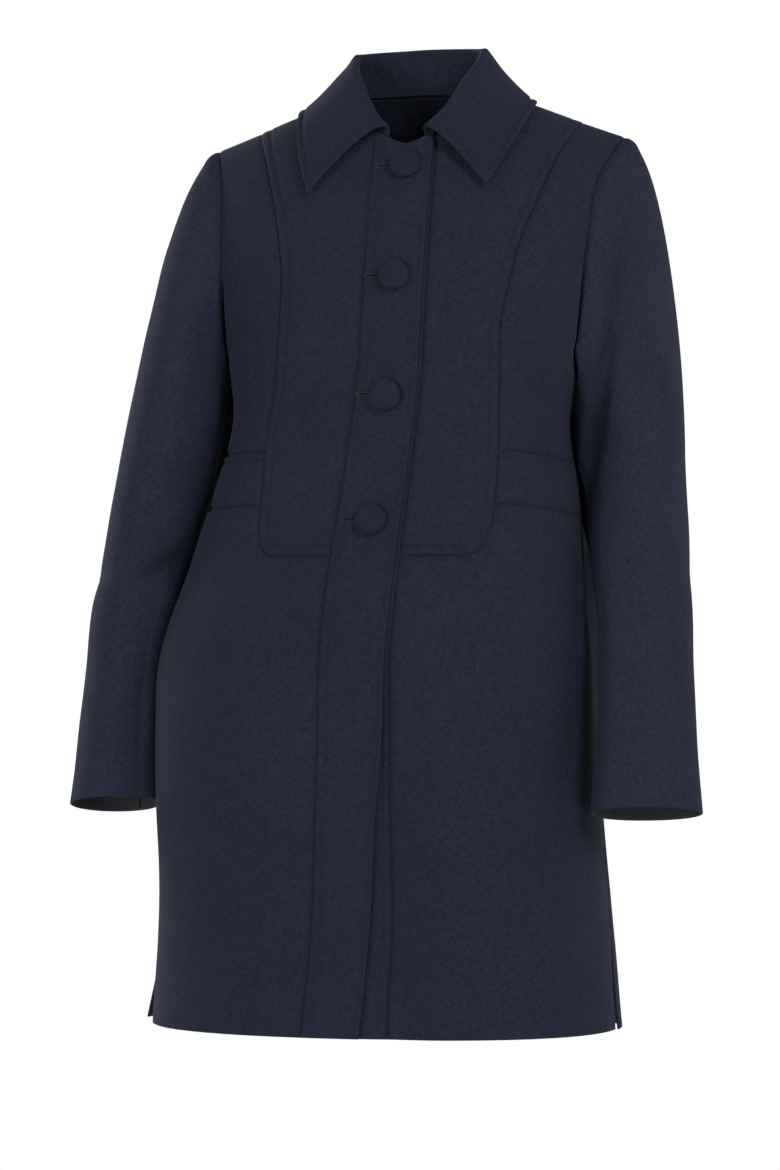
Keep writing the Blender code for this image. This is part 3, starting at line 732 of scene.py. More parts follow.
    def normal(self, turn: Array, level: Array) -> Array:
        """Gives the outward direction of the form.

        Args:
            turn: Angle round the body.
            level: Level of the point.

        Returns:
            The direction.
        """
        turn = np.asarray(turn)
        above = np.minimum(np.asarray(level, float) + LEVEL_STEP, 1.0)
        round_way = self.point(turn + TURN_STEP, level) - self.point(turn - TURN_STEP, level)
        return unit(np.cross(round_way, self.point(turn, above) - self.point(turn, above - 2 * LEVEL_STEP)))

    def turn(self, across: Array, level: Array) -> Array:
        """Turn of a point at the front, given by its offset from the centre."""
        ratio = np.clip(np.abs(across) / self.half_width(level), 0.0, 1.0)
        return np.sign(across) * np.degrees(np.arcsin(ratio ** (self.squareness / 2)))

    def dip(self, turn: Array, level: Array) -> Array:
        """Gives how far the cloth hangs down at the side seams, most at the waist.

        Args:
            turn: Angle round the body.
            level: Level of the point.

        Returns:
            The drop.
        """
        from_centre = np.minimum(np.abs(turn), 180.0 - np.abs(turn))
        waist = ease(0.0, self.underarm - self.waist_top, -level)
        waist = waist * (1.0 - ease(self.underarm - self.waist_foot, self.dip_end, -level))
        depth = np.where(turn < 0, self.dip_right, self.dip_left)
        return depth * waist * ease(self.dip_start, self.dip_full, from_centre)

    def lay(self, turn: Array, level: Array, lift: Array | float = 0.0) -> Patch:
        """Lays a patch of cloth on the form.

        Args:
            turn: Turns of its points.
            level: Levels of its points.
            lift: How far out it lies.

        Returns:
            The points and the outward directions.
        """
        turn, level = np.broadcast_arrays(np.asarray(turn, float), np.asarray(level, float))
        level = level - self.dip(turn, level)
        normal = self.normal(turn, level)
        return self.point(turn, level) + np.asarray(lift)[..., None] * normal, normal

    def seam(self, rows: Sequence[SeamRow], side: Side, level: Array) -> Array:
        """Reads a seam's offset from the centre front.

        Args:
            rows: The seam's table.
            side: Side of the coat.
            level: Levels to read it at.

        Returns:
            The offsets.
        """
        across = np.full(np.shape(level), self.seam_guess)
        for _ in range(self.seam_rounds):
            across = smooth_column(rows, "height", side.label, self.height(across, level))
        return across

    def bib_edge(self, side: Side, level: Array) -> Array:
        """Gives the bib's outer seam, with its lower corner rounded.

        Args:
            side: Side of the coat.
            level: Levels to read it at.

        Returns:
            Its offsets from the centre front.
        """
        rise = np.clip(self.height(self.seam_guess, level) - self.bib_foot, 0.0, self.bib_corner)
        corner = self.bib_corner - np.sqrt(self.bib_corner**2 - (self.bib_corner - rise) ** 2)
        return self.seam(BIB_SEAM, side, level) - corner

    def side_turn(self, side: Side, level: Array) -> Array:
        """Gives the side seam, and the armhole above it.

        Args:
            side: Side of the coat.
            level: Levels to read it at.

        Returns:
            Its turns from the centre front.
        """
        level = np.asarray(level, float)
        notch = float(self.turn(self.seam(ARMHOLE, side, np.array(self.notch)), self.notch))
        scoop = np.sqrt(1.0 - (1.0 - np.clip(level / self.notch, 0.0, 1.0)) ** 2)
        above = np.maximum(level, self.notch)
        high = self.turn(self.seam(ARMHOLE, side, above), above)
        return np.where(level <= self.notch, 90.0 - (90.0 - notch) * scoop, high)

    def neck_level(self, across: Array, foot: float) -> Array:
        """Gives the level of the neckline.

        Args:
            across: Offset from the centre.
            foot: Height of the neckline at the centre front or the centre back.

        Returns:
            The level.
        """
        ratio = np.clip(np.abs(across) / self.neck_half, 0.0, 1.0)
        height = foot + (self.neck_point - foot) * ratio**self.neck_curve
        return np.where(ratio >= 1.0, 1.0, self.level(across, height))

    def stretched(self, levels: Array, top: Array) -> Array:
        """Row levels drawn in at the top so that they end at the neckline."""
        share = (levels - self.neck_stretch) / (1.0 - self.neck_stretch)
        return np.where(share <= 0.0, levels, self.neck_stretch + share * (top - self.neck_stretch))

    def fold(self, level: Array) -> Array:
        """Depth of the hanging fold beside the over band's edge."""
        low, high = (self.underarm - height for height in (self.lap_fold_start, self.lap_fold_full))
        return self.lap_fold * ease(low, high, -level)

    def under_lap(self, side: Side, across: Array, seam: Array, level: Array) -> Array:
        """Gives how far a front lies in below the over band.

        Args:
            side: Side of the coat.
            across: Offsets of the points.
            seam: Offsets of the band seam at their levels.
            level: Their levels.

        Returns:
            Lifts, none on the right and negative on the left.
        """
        if side is Side.RIGHT:
            return np.zeros(np.broadcast_shapes(np.shape(across), np.shape(level)))
        return -(self.lap_drop + self.fold(level)) * (1.0 - ease(0.0, self.lap_release, across - seam))

    def shoulder_levels(self) -> Array:
        """Spaces the rows from the underarm to the shoulder line.

        Returns:
            Their levels, those of the two sleeve seams among them.
        """
        scoop = self.notch * (1.0 - np.cos(np.linspace(0.0, math.pi / 2, self.scoop_rows)))
        above = np.linspace(self.notch, 1.0, self.armhole_rows)
        return np.unique(np.concatenate([scoop, [FRONT_SPLIT, BACK_SPLIT], above]).round(6))


@dataclass
class Sheet:
    """Open surface of cloth: its points, outward directions and faces."""

    points: Array
    normals: Array
    faces: Array

    @classmethod
    def from_grid(cls, patch: Patch) -> "Sheet":
        """Makes a sheet from a grid.

        Args:
            patch: Points and outward directions, row by row from the foot up.

        Returns:
            The sheet, with its faces turned outward.
        """
        points, normals = patch
        rows, columns = points.shape[:2]
        index = np.arange(rows * columns).reshape(rows, columns)
        corners = (index[:-1, :-1], index[:-1, 1:], index[1:, 1:], index[1:, :-1])
        faces = np.stack([corner.ravel() for corner in corners], axis=1)
        sheet = cls(points.reshape(-1, 3).copy(), normals.reshape(-1, 3).copy(), faces)
        first, second, third = (sheet.points[faces[:, k]] for k in (0, 1, 3))
        facing = np.sum(np.cross(second - first, third - first) * sheet.normals[faces[:, 0]])
        if facing < 0:
            sheet.faces = faces[:, ::-1]
        return sheet

    def join(self, other: "Sheet") -> "Sheet":
        """Joins a sheet to this one along the points that they share.

        Args:
            other: The sheet to join.

        Returns:
            The joined sheet.
        """
        tree = search_tree(self.points)
        place = np.empty(len(other.points), int)
        fresh = []
        for number, point in enumerate(other.points):
            _, near, distance = tree.find(point)
            if distance > SAME_POINT:
                near = len(self.points) + len(fresh)
                fresh.append(number)
            place[number] = near
        return Sheet(
            np.concatenate([self.points, other.points[fresh]]),
            np.concatenate([self.normals, other.normals[fresh]]),
            np.concatenate([self.faces, place[other.faces]]),
        )

    def shell(self, wall: float, rim_width: float) -> Patch:
        """Gives the sheet its thickness, with rounded borders.

        Args:
            wall: Thickness of the cloth.
            rim_width: Width that the rounding of the border takes.

        Returns:
            Points and faces of the closed shell.
        """
        count = len(self.points)
        edges = np.concatenate([self.faces[:, [k, (k + 1) % 4]] for k in range(4)])
        border = edges[~np.isin(edges[:, 0] * count + edges[:, 1], edges[:, 1] * count + edges[:, 0])]
        way = unit(self.points[border[:, 1]] - self.points[border[:, 0]])
        out = unit(np.cross(way, self.normals[border].sum(axis=1)))
        away = np.zeros((count, 3))
        np.add.at(away, border[:, 0], out)
        np.add.at(away, border[:, 1], out)
        length = np.linalg.norm(away, axis=1, keepdims=True)
        mitre = np.clip(2.0 / np.maximum(length, 1e-9), 1.0, MITRE_LIMIT)
        away = unit(away) * (length > 1e-9)
        outer = self.points - away * mitre * (rim_width - MEET)
        inner = outer - wall * self.normals
        rim = np.unique(border)
        slot = np.full(count, -1)
        slot[rim] = np.arange(len(rim))
        middle = (outer[rim] + inner[rim]) / 2
        loops = []
        for angle in np.radians(RIM_ANGLES):
            bulge = away[rim] * mitre[rim] * rim_width * math.sin(angle)
            loops.append(middle + self.normals[rim] * wall / 2 * math.cos(angle) + bulge)
        rings = [border]
        rings += [slot[border] + 2 * count + k * len(rim) for k in range(len(loops))]
        rings.append(border + count)
        faces = [self.faces, self.faces[:, ::-1] + count]
        for upper, lower in zip(rings, rings[1:]):
            faces.append(np.stack([upper[:, 1], upper[:, 0], lower[:, 0], lower[:, 1]], axis=1))
        return np.concatenate([outer, inner, *loops]), np.concatenate(faces)


@dataclass
class Relief:
    """Small rise and fall of the cloth: pressed seams, sunk stitch lines, creases and a slow unevenness."""

    seam_depth: float = 0.0030
    seam_width: float = 0.0020
    stitch_depth: float = 0.0016
    stitch_width: float = 0.0017
    collar_depth: float = 0.0018
    line_pitch: float = 0.0012
    level_ease: tuple[float, float] = (0.45, 0.80)
    level_share: float = 0.75
    crease_start: tuple[float, float] = (-0.12, 0.30)
    crease_end: tuple[float, float] = (0.62, 1.15)
    crease_facing: tuple[float, float] = (0.05, 0.55)
    lean_reach: float = 0.001
    seams: list[Array] = field(default_factory=list)
    stitches: list[Array] = field(default_factory=list)
    trees: dict[str, KDTree] = field(default_factory=dict)

    def settle(self) -> None:
        """Readies the seam and stitch lines for measuring."""
        for name, lines in (("seam", self.seams), ("stitch", self.stitches)):
            even = [resample(line, line, self.line_pitch)[0] for line in lines]
            self.trees[name] = search_tree(np.concatenate(even))

    def distance(self, name: str, points: Array) -> Array:
        """Distance of each point from the nearest line of one kind."""
        find = self.trees[name].find
        return np.array([find(point)[2] for point in points])

    def creases(self, points: Array, normals: Array, group: Group) -> Array:
        """Adds up the creases of one group of pieces.

        Args:
            points: Points of the cloth.
            normals: Its outward directions.
            group: The group that the piece is in.

        Returns:
            Heights of the cloth there.
        """
        height = np.zeros(len(points))
        own = {facing: rows for (owner, facing), rows in CREASES.items() if owner is group}
        for facing, crease in ((facing, crease) for facing, rows in own.items() for crease in rows):
            axis, facing_axis, way = facing.value
            start = np.array([crease.across_0, crease.height_0])
            run = np.array([crease.across_1, crease.height_1]) - start
            offset = points[:, [axis, 2]] - start
            share = offset @ run / (run @ run)
            bow = crease.bow * np.sin(np.clip(share, 0.0, 1.0) * math.pi)
            side = (offset[:, 0] * run[1] - offset[:, 1] * run[0]) / np.linalg.norm(run)
            side = side + bow * np.linalg.norm(run)
            fade = ease(*self.crease_start, share) * (1.0 - ease(*self.crease_end, share))
            seen = ease(*self.crease_facing, normals[:, facing_axis] * way)
            height -= crease.depth * np.exp(-((side / crease.width) ** 2)) * fade * seen
        return height

    def lean(self, points: Array, normals: Array, group: Group) -> Array:
        """Turns the outward directions to follow the creases.

        Args:
            points: Points of the cloth.
            normals: Its outward directions before it creased.
            group: The group that the piece is in.

        Returns:
            Outward directions of the creased cloth.
        """
        across = unit(np.cross(normals, (0.3, 0.2, 1.0)))
        slope = np.zeros_like(normals)
        for way in (across, np.cross(normals, across)):
            step = self.lean_reach * way
            rise = self.creases(points + step, normals, group) - self.creases(points - step, normals, group)
            slope += (rise / (2 * self.lean_reach))[:, None] * way
        return unit(normals - slope)

    def unevenness(self, points: Array) -> Array:
        """Slow swell of cloth that was never quite flat."""
        return sum(swell.height * np.sin(points @ np.array(swell[1:4]) + swell.start) for swell in SWELLS)

    def height(self, points: Array, normals: Array, group: Group) -> Array:
        """Adds up the relief of a piece.

        Args:
            points: Points of the cloth.
            normals: Its outward directions.
            group: The group that the piece is in.

        Returns:
            Heights of the cloth there.
        """
        seam = self.distance("seam", points)
        stitch = self.distance("stitch", points)
        height = self.creases(points, normals, group) + self.unevenness(points)
        if group is not Group.COLLAR:
            depth = self.seam_depth * (1.0 - self.level_share * ease(*self.level_ease, normals[:, 2]))
            height -= depth * np.exp(-((seam / self.seam_width) ** 2))
        depth = self.collar_depth if group is Group.COLLAR else self.stitch_depth
        return height - depth * np.exp(-((stitch / self.stitch_width) ** 2))


class NodeBoard:
    """Short way to lay out the nodes of one tree."""

    def __init__(self, tree: bpy.types.NodeTree) -> None:
        """Takes the tree to work on."""
        self.tree = tree

    def add(self, kind: str, **inputs: object) -> bpy.types.Node:
        """Adds a node.

        Args:
            kind: Its Blender type.
            inputs: Values or sockets for its inputs, by name with spaces as underscores.

        Returns:
            The node.
        """
        node = self.tree.nodes.new(kind)
        for name, value in inputs.items():
            self.put(node, name.replace("_", " "), value)
        return node

    def put(self, node: bpy.types.Node, name: str | int, value: object) -> None:
        """Sets or links one input of a node.

        Args:
            node: The node.
            name: Name or number of the input.
            value: Value to set, or socket to link.
        """
        socket = node.inputs[name]
        if isinstance(value, bpy.types.NodeSocket):
            self.tree.links.new(value, socket)
        else:
            socket.default_value = value

    def math(self, operation: str, first: object, second: object = 0.0) -> bpy.types.NodeSocket:
        """Adds a sum of two values.

        Args:
            operation: Blender's name of the sum.
            first: First value or socket.
            second: Second value or socket.

        Returns:
            The result's socket.
        """
        node = self.tree.nodes.new("ShaderNodeMath")
        node.operation = operation
        self.put(node, 0, first)
        self.put(node, 1, second)
        return node.outputs[0]

    def mix(self, share: object, first: object, second: object) -> bpy.types.NodeSocket:
        """Adds a mix of two colours.

        Args:
            share: Share of the second colour.
            first: First colour or socket.
            second: Second colour or socket.

        Returns:
            The result's socket.
        """
        node = self.tree.nodes.new("ShaderNodeMix")
        node.data_type = "RGBA"
        for place, value in ((0, share), (6, first), (7, second)):
            self.put(node, place, value)
        return node.outputs[2]

    def step(self, value: object, low: float, high: float) -> bpy.types.NodeSocket:
        """Adds a smooth step from 0 to 1.

        Args:
            value: Value or socket to step.
            low: Where the step starts.
            high: Where it ends.

        Returns:
            The result's socket.
        """
        node = self.tree.nodes.new("ShaderNodeMapRange")
        node.interpolation_type = "SMOOTHSTEP"
        for place, number in ((0, value), (1, low), (2, high)):
            self.put(node, place, number)
        return node.outputs[0]

    def coords(self) -> bpy.types.NodeSocket:
        """Coordinates on the piece itself."""
        return self.tree.nodes.new("ShaderNodeTexCoord").outputs["Object"]


def start_material(name: str) -> tuple[bpy.types.Material, NodeBoard, bpy.types.Node]:
    """Starts a material.

    Args:
        name: Its name.

    Returns:
        The material, the board of its nodes and its shader.
    """
    made = bpy.data.materials.new(name)
    made.use_nodes = True
    return made, NodeBoard(made.node_tree), made.node_tree.nodes["Principled BSDF"]


def felt_group() -> bpy.types.NodeTree:
    """Builds the felted nap that the coat cloth and the button covers share.

    Returns:
        The node group.
    """
    group = bpy.data.node_groups.new("felted_nap", "ShaderNodeTree")
    sockets = group.interface
    for name in ("Deep", "Pale", "Fibre"):
        sockets.new_socket(name, in_out="INPUT", socket_type="NodeSocketColor")
    sockets.new_socket("Scale", in_out="INPUT", socket_type="NodeSocketFloat")
    sockets.new_socket("Colour", in_out="OUTPUT", socket_type="NodeSocketColor")
    for name in ("Roughness", "Height"):
        sockets.new_socket(name, in_out="OUTPUT", socket_type="NodeSocketFloat")
    board = NodeBoard(group)
    given = group.nodes.new("NodeGroupInput").outputs
    place = board.coords()
    noise = "ShaderNodeTexNoise"
    tuft_scale = board.math("MULTIPLY", given["Scale"], 0.40)
    hair_scale = board.math("MULTIPLY", given["Scale"], 1.3)
    grain = board.add(noise, Vector=place, Scale=given["Scale"], Detail=5.0, Roughness=0.7).outputs[0]
    tuft = board.add(noise, Vector=place, Scale=tuft_scale, Detail=3.0).outputs[0]
    cloud = board.add(noise, Vector=place, Scale=9.0, Detail=3.0, Roughness=0.6).outputs[0]
    lay = board.add("ShaderNodeMapping", Vector=place)
    lay.inputs["Scale"].default_value = (1.0, 1.0, 0.22)
    lay.inputs["Rotation"].default_value = (0.3, 0.2, 0.4)
    hair = board.add(noise, Vector=lay.outputs[0], Scale=hair_scale, Distortion=1.2)
    hair_mask = board.step(hair.outputs[0], 0.60, 0.74)
    tone = 0.0
    for source, edge, share in ((grain, 0.34, 0.42), (tuft, 0.34, 0.42), (cloud, 0.32, 0.16)):
        tone = board.math("ADD", tone, board.math("MULTIPLY", board.step(source, edge, 1.0 - edge), share))
    colour = board.mix(tone, given["Deep"], given["Pale"])
    colour = board.mix(board.math("MULTIPLY", hair_mask, 0.28), colour, given["Fibre"])
    rough = board.math("ADD", 0.80, board.math("MULTIPLY", tuft, 0.16))
    height = board.math("ADD", board.math("MULTIPLY", grain, 0.6), board.math("MULTIPLY", tuft, 0.5))
    height = board.math("ADD", height, board.math("MULTIPLY", hair_mask, 0.25))
    given_out = group.nodes.new("NodeGroupOutput")
    for name, socket in (("Colour", colour), ("Roughness", rough), ("Height", height)):
        group.links.new(socket, given_out.inputs[name])
    return group


@dataclass(frozen=True)
class WoolFinish:
    """Felted wool with a short nap."""

    name: str
    deep: tuple[float, float, float]
    pale: tuple[float, float, float]
    fibre: tuple[float, float, float]
    scale: float
    bump: float
    sheen: float
    sheen_roughness: float = 0.42
    sheen_tint: tuple[float, float, float] = (0.62, 0.66, 0.86)
    specular: float = 0.10
    nap_height: float = 0.0006

    def material(self, nap: bpy.types.NodeTree) -> bpy.types.Material:
        """Makes the material.

        Args:
            nap: The shared nap group.

        Returns:
            The material.
        """
        made, board, shader = start_material(self.name)
        felt = made.node_tree.nodes.new("ShaderNodeGroup")
        felt.node_tree = nap
        for name, tone in (("Deep", self.deep), ("Pale", self.pale), ("Fibre", self.fibre)):
            felt.inputs[name].default_value = (*tone, 1.0)
        felt.inputs["Scale"].default_value = self.scale
        height = felt.outputs["Height"]
        raised = board.add("ShaderNodeBump", Strength=self.bump, Distance=self.nap_height, Height=height)
        board.put(shader, "Base Color", felt.outputs["Colour"])
        board.put(shader, "Roughness", felt.outputs["Roughness"])
        board.put(shader, "Normal", raised.outputs[0])
        board.put(shader, "Specular IOR Level", self.specular)
        board.put(shader, "Sheen Weight", self.sheen)
        board.put(shader, "Sheen Roughness", self.sheen_roughness)
        board.put(shader, "Sheen Tint", (*self.sheen_tint, 1.0))
        return made


@dataclass(frozen=True)
class ThreadFinish:
    """Spun sewing thread; the same finish also makes the near-black painted shadow in the buttonhole slits.
    """

    name: str
    tone: tuple[float, float, float]
    roughness: float
    ply_scale: float = 2600.0
    # Share of the thread's tone left in the ply grooves: painted shade.
    painted_groove_shade: float = 0.6
    specular: float = 0.35

    def material(self) -> bpy.types.Material:
        """Makes the material.

        Returns:
            The material.
        """
        made, board, shader = start_material(self.name)
        place = board.coords()
        ply = board.add("ShaderNodeTexNoise", Vector=place, Scale=self.ply_scale, Detail=2.0).outputs[0]
        # Darker where the ply noise is low, where the bump sinks: painted shade in the grooves between the
        # plies.
        dark = tuple(self.painted_groove_shade * part for part in self.tone)
        colour = board.mix(board.step(ply, 0.35, 0.65), (*dark, 1.0), (*self.tone, 1.0))
        board.put(shader, "Base Color", colour)
        board.put(shader, "Roughness", board.math("ADD", self.roughness, board.math("MULTIPLY", ply, 0.2)))
        raised = board.add("ShaderNodeBump", Strength=0.4, Distance=0.0002, Height=ply)
        board.put(shader, "Normal", raised.outputs[0])
        board.put(shader, "Specular IOR Level", self.specular)
        return made


COAT_WOOL = WoolFinish(
    "coat_wool",
    (0.0110, 0.0138, 0.0272),
    (0.0226, 0.0272, 0.0496),
    (0.041, 0.047, 0.076),
    scale=620.0,
    bump=0.34,
    sheen=0.08,
)
# Sleeve cloth: the coat cloth painted about a fifth lighter, standing in for light that the sleeves catch.
SLEEVE_WOOL_PAINTED_LIGHTER = WoolFinish(
    "sleeve_wool",
    (0.0134, 0.0166, 0.0326),
    (0.0274, 0.0328, 0.0594),
    (0.048, 0.055, 0.089),
    scale=620.0,
    bump=0.34,
    sheen=0.04,
)
# Sleeve lining: a neutral grey cloth, its paleness partly its own colour and partly painted light standing in
# for light that reaches into the cuffs.
INSIDE_WOOL = WoolFinish(
    "inside_wool",
    (0.041, 0.041, 0.050),
    (0.064, 0.064, 0.078),
    (0.080, 0.080, 0.094),
    scale=620.0,
    bump=0.30,
    sheen=0.05,
)
# Button cover cloth: the coat cloth painted a little darker, standing in for shade on the domed buttons.
BUTTON_WOOL_PAINTED_DARKER = WoolFinish(
    "button_wool",
    (0.0104, 0.0130, 0.0260),
    (0.0212, 0.0254, 0.0468),
    (0.037, 0.043, 0.068),
    scale=760.0,
    bump=0.28,
    sheen=0.03,
)
TOP_THREAD = ThreadFinish("topstitch_thread", (0.026, 0.030, 0.047), 0.55)
HOLE_THREAD = ThreadFinish("buttonhole_thread", (0.040, 0.046, 0.066), 0.50)
# Buttonhole slit: a near-black sheet, painted shadow standing in for the shade inside each cut.
SLIT_PAINTED_SHADOW = ThreadFinish("buttonhole_slit", (0.004, 0.005, 0.008), 0.9)


class Tailor:
    """Turns sheets into finished pieces of the model."""

    def __init__(self, relief: Relief) -> None:
        """Makes the finishes.

        Args:
            relief: The small rise and fall that the cloth gets.
        """
        self.relief = relief
        nap = felt_group()
        self.wool = COAT_WOOL.material(nap)
        self.sleeve_wool = SLEEVE_WOOL_PAINTED_LIGHTER.material(nap)
        self.inside_wool = INSIDE_WOOL.material(nap)
        self.button_wool = BUTTON_WOOL_PAINTED_DARKER.material(nap)

    def place(self, name: str, points: Array, faces: Array, finish: bpy.types.Material) -> bpy.types.Object:
        """Puts a mesh into the scene.

        Args:
            name: Name of the piece.
            points: Its points.
            faces: Its faces.
            finish: Its material.

        Returns:
            The piece, riding on the coat.
        """
        mesh = bpy.data.meshes.new(name)
        mesh.from_pydata(points.tolist(), [], faces.tolist())
        mesh.shade_smooth()
        mesh.materials.append(finish)
        piece = link(name, mesh)
        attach(piece, "root")
        LOG.info("%s: %d faces", name, len(faces))
        return piece

    def line(self, piece: bpy.types.Object, total: int, count: int) -> None:
        """Gives the inside of a sleeve its lining cloth, a pale grey that is partly painted light standing in
        for light inside the cuffs.

        Args:
            piece: The piece of the sleeve.
            total: Number of faces of its shell.
            count: Number of faces of its outer side, which those of the inner side follow.
        """
        finish = np.zeros(total, dtype=np.int32)
        finish[count : 2 * count] = 1
        finish[total - (total - 2 * count) // (len(RIM_ANGLES) + 1) :] = 1
        piece.data.materials.append(self.inside_wool)
        piece.data.polygons.foreach_set("material_index", finish)

    def sew(
        self, node: str, sheet: Sheet, group: Group, wall: float = WALL
    ) -> None:
        """Finishes one cut piece of cloth.

        Args:
            node: The solid that it stands for.
            sheet: Its outer face.
            group: Whose creases it has.
            wall: Thickness of the cloth.
        """
        height = self.relief.height(sheet.points, sheet.normals, group)
        lean = self.relief.lean(sheet.points, sheet.normals, group)
        raised = Sheet(sheet.points + height[:, None] * sheet.normals, lean, sheet.faces)
        points, faces = raised.shell(wall, COLLAR_RIM if group is Group.COLLAR else RIM)
        # Sleeves take the sleeve cloth, painted lighter than the coat cloth to stand in for light.
        on_sleeve = group in (Group.LEFT_SLEEVE, Group.RIGHT_SLEEVE)
        piece = self.place(node + "_cloth", points, faces, self.sleeve_wool if on_sleeve else self.wool)
        if on_sleeve:
            self.line(piece, len(faces), len(sheet.faces))
        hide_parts(node)


@dataclass
class FrontPanels:
    """Bib, side front, waist inset and skirt of one front."""

    form: BodyForm
    side: Side
    step: float = 0.0052
    skirt_step: float = 0.0056
    bib_stitch: float = 0.0085
    waist_stitch: float = 0.0078
    close_rows: float = 0.0006
    line_steps: int = 40
    line_ends: tuple[float, float] = (0.3, 89.6)
    vent_ease: float = 0.010
    bib_spaces: int = 16
    side_columns: int = 27
    inset_columns: int = 30
    skirt_columns: int = 36
    corner_columns: int = 14

    def edge_turn(self, level: Array) -> Array:
        """Turn of the bib's outer seam at a level."""
        return self.form.turn(self.form.bib_edge(self.side, level), level)

    def foot_rows(self) -> Array:
        """Spaces the rows round the bib's lower corner.

        Returns:
            Their levels.
        """
        form = self.form
        bend = np.linspace(0.0, math.pi / 2, 11)
        corner = form.bib_foot + form.bib_corner * (1.0 - np.cos(bend)) - form.underarm
        close = form.bib_foot - form.underarm + np.array(NAP_STITCH)
        rows = np.sort(np.concatenate([corner, close]))
        return rows[np.concatenate([[True], np.diff(rows) > self.close_rows])]

    def columns(self, near: Array, far: Array) -> Array:
        """Offsets of the bib's columns between its two seams, close where its stitching runs."""
        return fill(near + np.array(PLAIN_EDGE[:3]), far - np.array(NAP_STITCH)[::-1], self.bib_spaces)

    def bib(self) -> Sheet:
        """Builds the bib.

        Returns:
            Its sheet, from the rounded foot to the neckline and the shoulder.
        """
        form = self.form
        foot = self.foot_rows()
        middle = spread(foot[-1], 0.0, self.step)[1:-1]
        levels = np.concatenate([foot, middle, np.linspace(0.0, 1.0, CHEST_ROWS)])[:, None]
        near = form.seam(BAND_SEAM, self.side, levels)
        across = self.columns(near, form.bib_edge(self.side, levels))
        levels = form.stretched(levels, form.neck_level(across[-1], form.neck_front))
        lift = LAP + form.under_lap(self.side, across, near, levels)
        return Sheet.from_grid(form.lay(self.side.value * form.turn(across, levels), levels, lift))

    def side_front(self) -> Sheet:
        """Builds the side front.

        Returns:
            Its sheet, from the waist seam to the armhole and the shoulder.
        """
        form = self.form
        low = spread(form.waist_top - form.underarm, 0.0, self.step)
        levels = np.concatenate([low[:-1], form.shoulder_levels()])[:, None]
        near = self.edge_turn(levels)
        turn = near + np.linspace(0.0, 1.0, self.side_columns) * (form.side_turn(self.side, levels) - near)
        return Sheet.from_grid(form.lay(self.side.value * turn, levels))

    def waist_inset(self) -> Sheet:
        """Builds the waist inset.

        Returns:
            Its sheet, from the bib seam to the side seam.
        """
        form = self.form
        foot, top = (height - form.underarm for height in (form.waist_foot, form.waist_top))
        levels = spread(foot, top, self.step, PLAIN_EDGE[:2], NAP_STITCH[:-1])[:, None]
        near = self.edge_turn(levels)
        turn = near + np.linspace(0.0, 1.0, self.inset_columns) * (90.0 - near)
        return Sheet.from_grid(form.lay(self.side.value * turn, levels))

    def skirt(self) -> Sheet:
        """Builds the front skirt.

        Returns:
            Its sheet: the full width below the bib, and the part beside the bib's lower corner.
        """
        form = self.form
        sign = self.side.value
        share = np.linspace(0.0, 1.0, self.skirt_columns)
        foot = form.bib_foot - form.underarm
        levels = spread(form.hem - form.underarm, foot, self.skirt_step)[:, None]
        near = form.seam(BAND_SEAM, self.side, levels)
        corner = np.full(levels.shape, float(form.bib_edge(self.side, np.array(foot))))
        corner_turn = form.turn(corner, levels)
        side_edge = 90.0 - form.vent_gap * ease(0.0, self.vent_ease, form.vent_top - form.underarm - levels)
        inner = near + np.linspace(0.0, 1.0, self.corner_columns) * (corner - near)
        outer = corner_turn + share[1:] * (side_edge - corner_turn)
        turn = np.concatenate([form.turn(inner, levels), outer], axis=1)
        across = np.concatenate([inner, np.full(outer.shape, 1.0)], axis=1)
        lower = form.lay(sign * turn, levels, form.under_lap(self.side, across, near, levels))
        rows = self.foot_rows()
        rest = spread(rows[-1], form.waist_foot - form.underarm, self.step)[1:]
        levels = np.concatenate([rows, rest])[:, None]
        near_turn = self.edge_turn(levels)
        upper = form.lay(sign * (near_turn + share * (90.0 - near_turn)), levels)
        return Sheet.from_grid(lower).join(Sheet.from_grid(upper))

    def bib_line(self, inset: float) -> Patch:
        """Traces the bib's outline.

        Args:
            inset: How far inside the seam.

        Returns:
            The line from the band seam round the corner to the shoulder.
        """
        form = self.form
        foot = form.bib_foot + inset
        radius = form.bib_corner - inset
        start = np.array(foot - form.underarm)
        outer = float(form.seam(BIB_SEAM, self.side, start)) - inset
        inner = float(form.seam(BAND_SEAM, self.side, start))
        bend = np.linspace(-math.pi / 2, 0.0, 12)
        flat = np.linspace(inner + 0.001, outer - radius, 24)[:-1]
        across = np.concatenate([flat, outer - radius + radius * np.cos(bend)])
        height = np.concatenate([np.full(len(flat), foot), foot + radius + radius * np.sin(bend)])
        below = np.linspace(height[-1] - form.underarm, 0.0, self.line_steps)[1:]
        rise = np.concatenate([below, np.linspace(0.01, 0.985, 60)])
        across = np.concatenate([across, form.seam(BIB_SEAM, self.side, rise) - inset])
        level = np.concatenate([height - form.underarm, rise])
        near = form.seam(BAND_SEAM, self.side, level)
        lift = LAP + form.under_lap(self.side, across, near, level)
        return form.lay(self.side.value * form.turn(across, level), level, lift)

    def waist_line(self, height: float) -> Patch:
        """Traces a level line across the waist inset.

        Args:
            height: Its height.

        Returns:
            The line from the bib seam to the side seam.
        """
        level = np.full(self.line_steps, height - self.form.underarm)
        near = self.edge_turn(level) + self.line_ends[0]
        turn = near + np.linspace(0.0, 1.0, self.line_steps) * (self.line_ends[1] - near)
        return self.form.lay(self.side.value * turn, level)

    def side_line(self) -> Patch:
        """Traces the side seam from the vent to the underarm."""
        level = np.linspace(self.form.vent_top - self.form.underarm, 0.0, 2 * self.line_steps)
        return self.form.lay(np.full(len(level), self.side.value * 90.0), level)

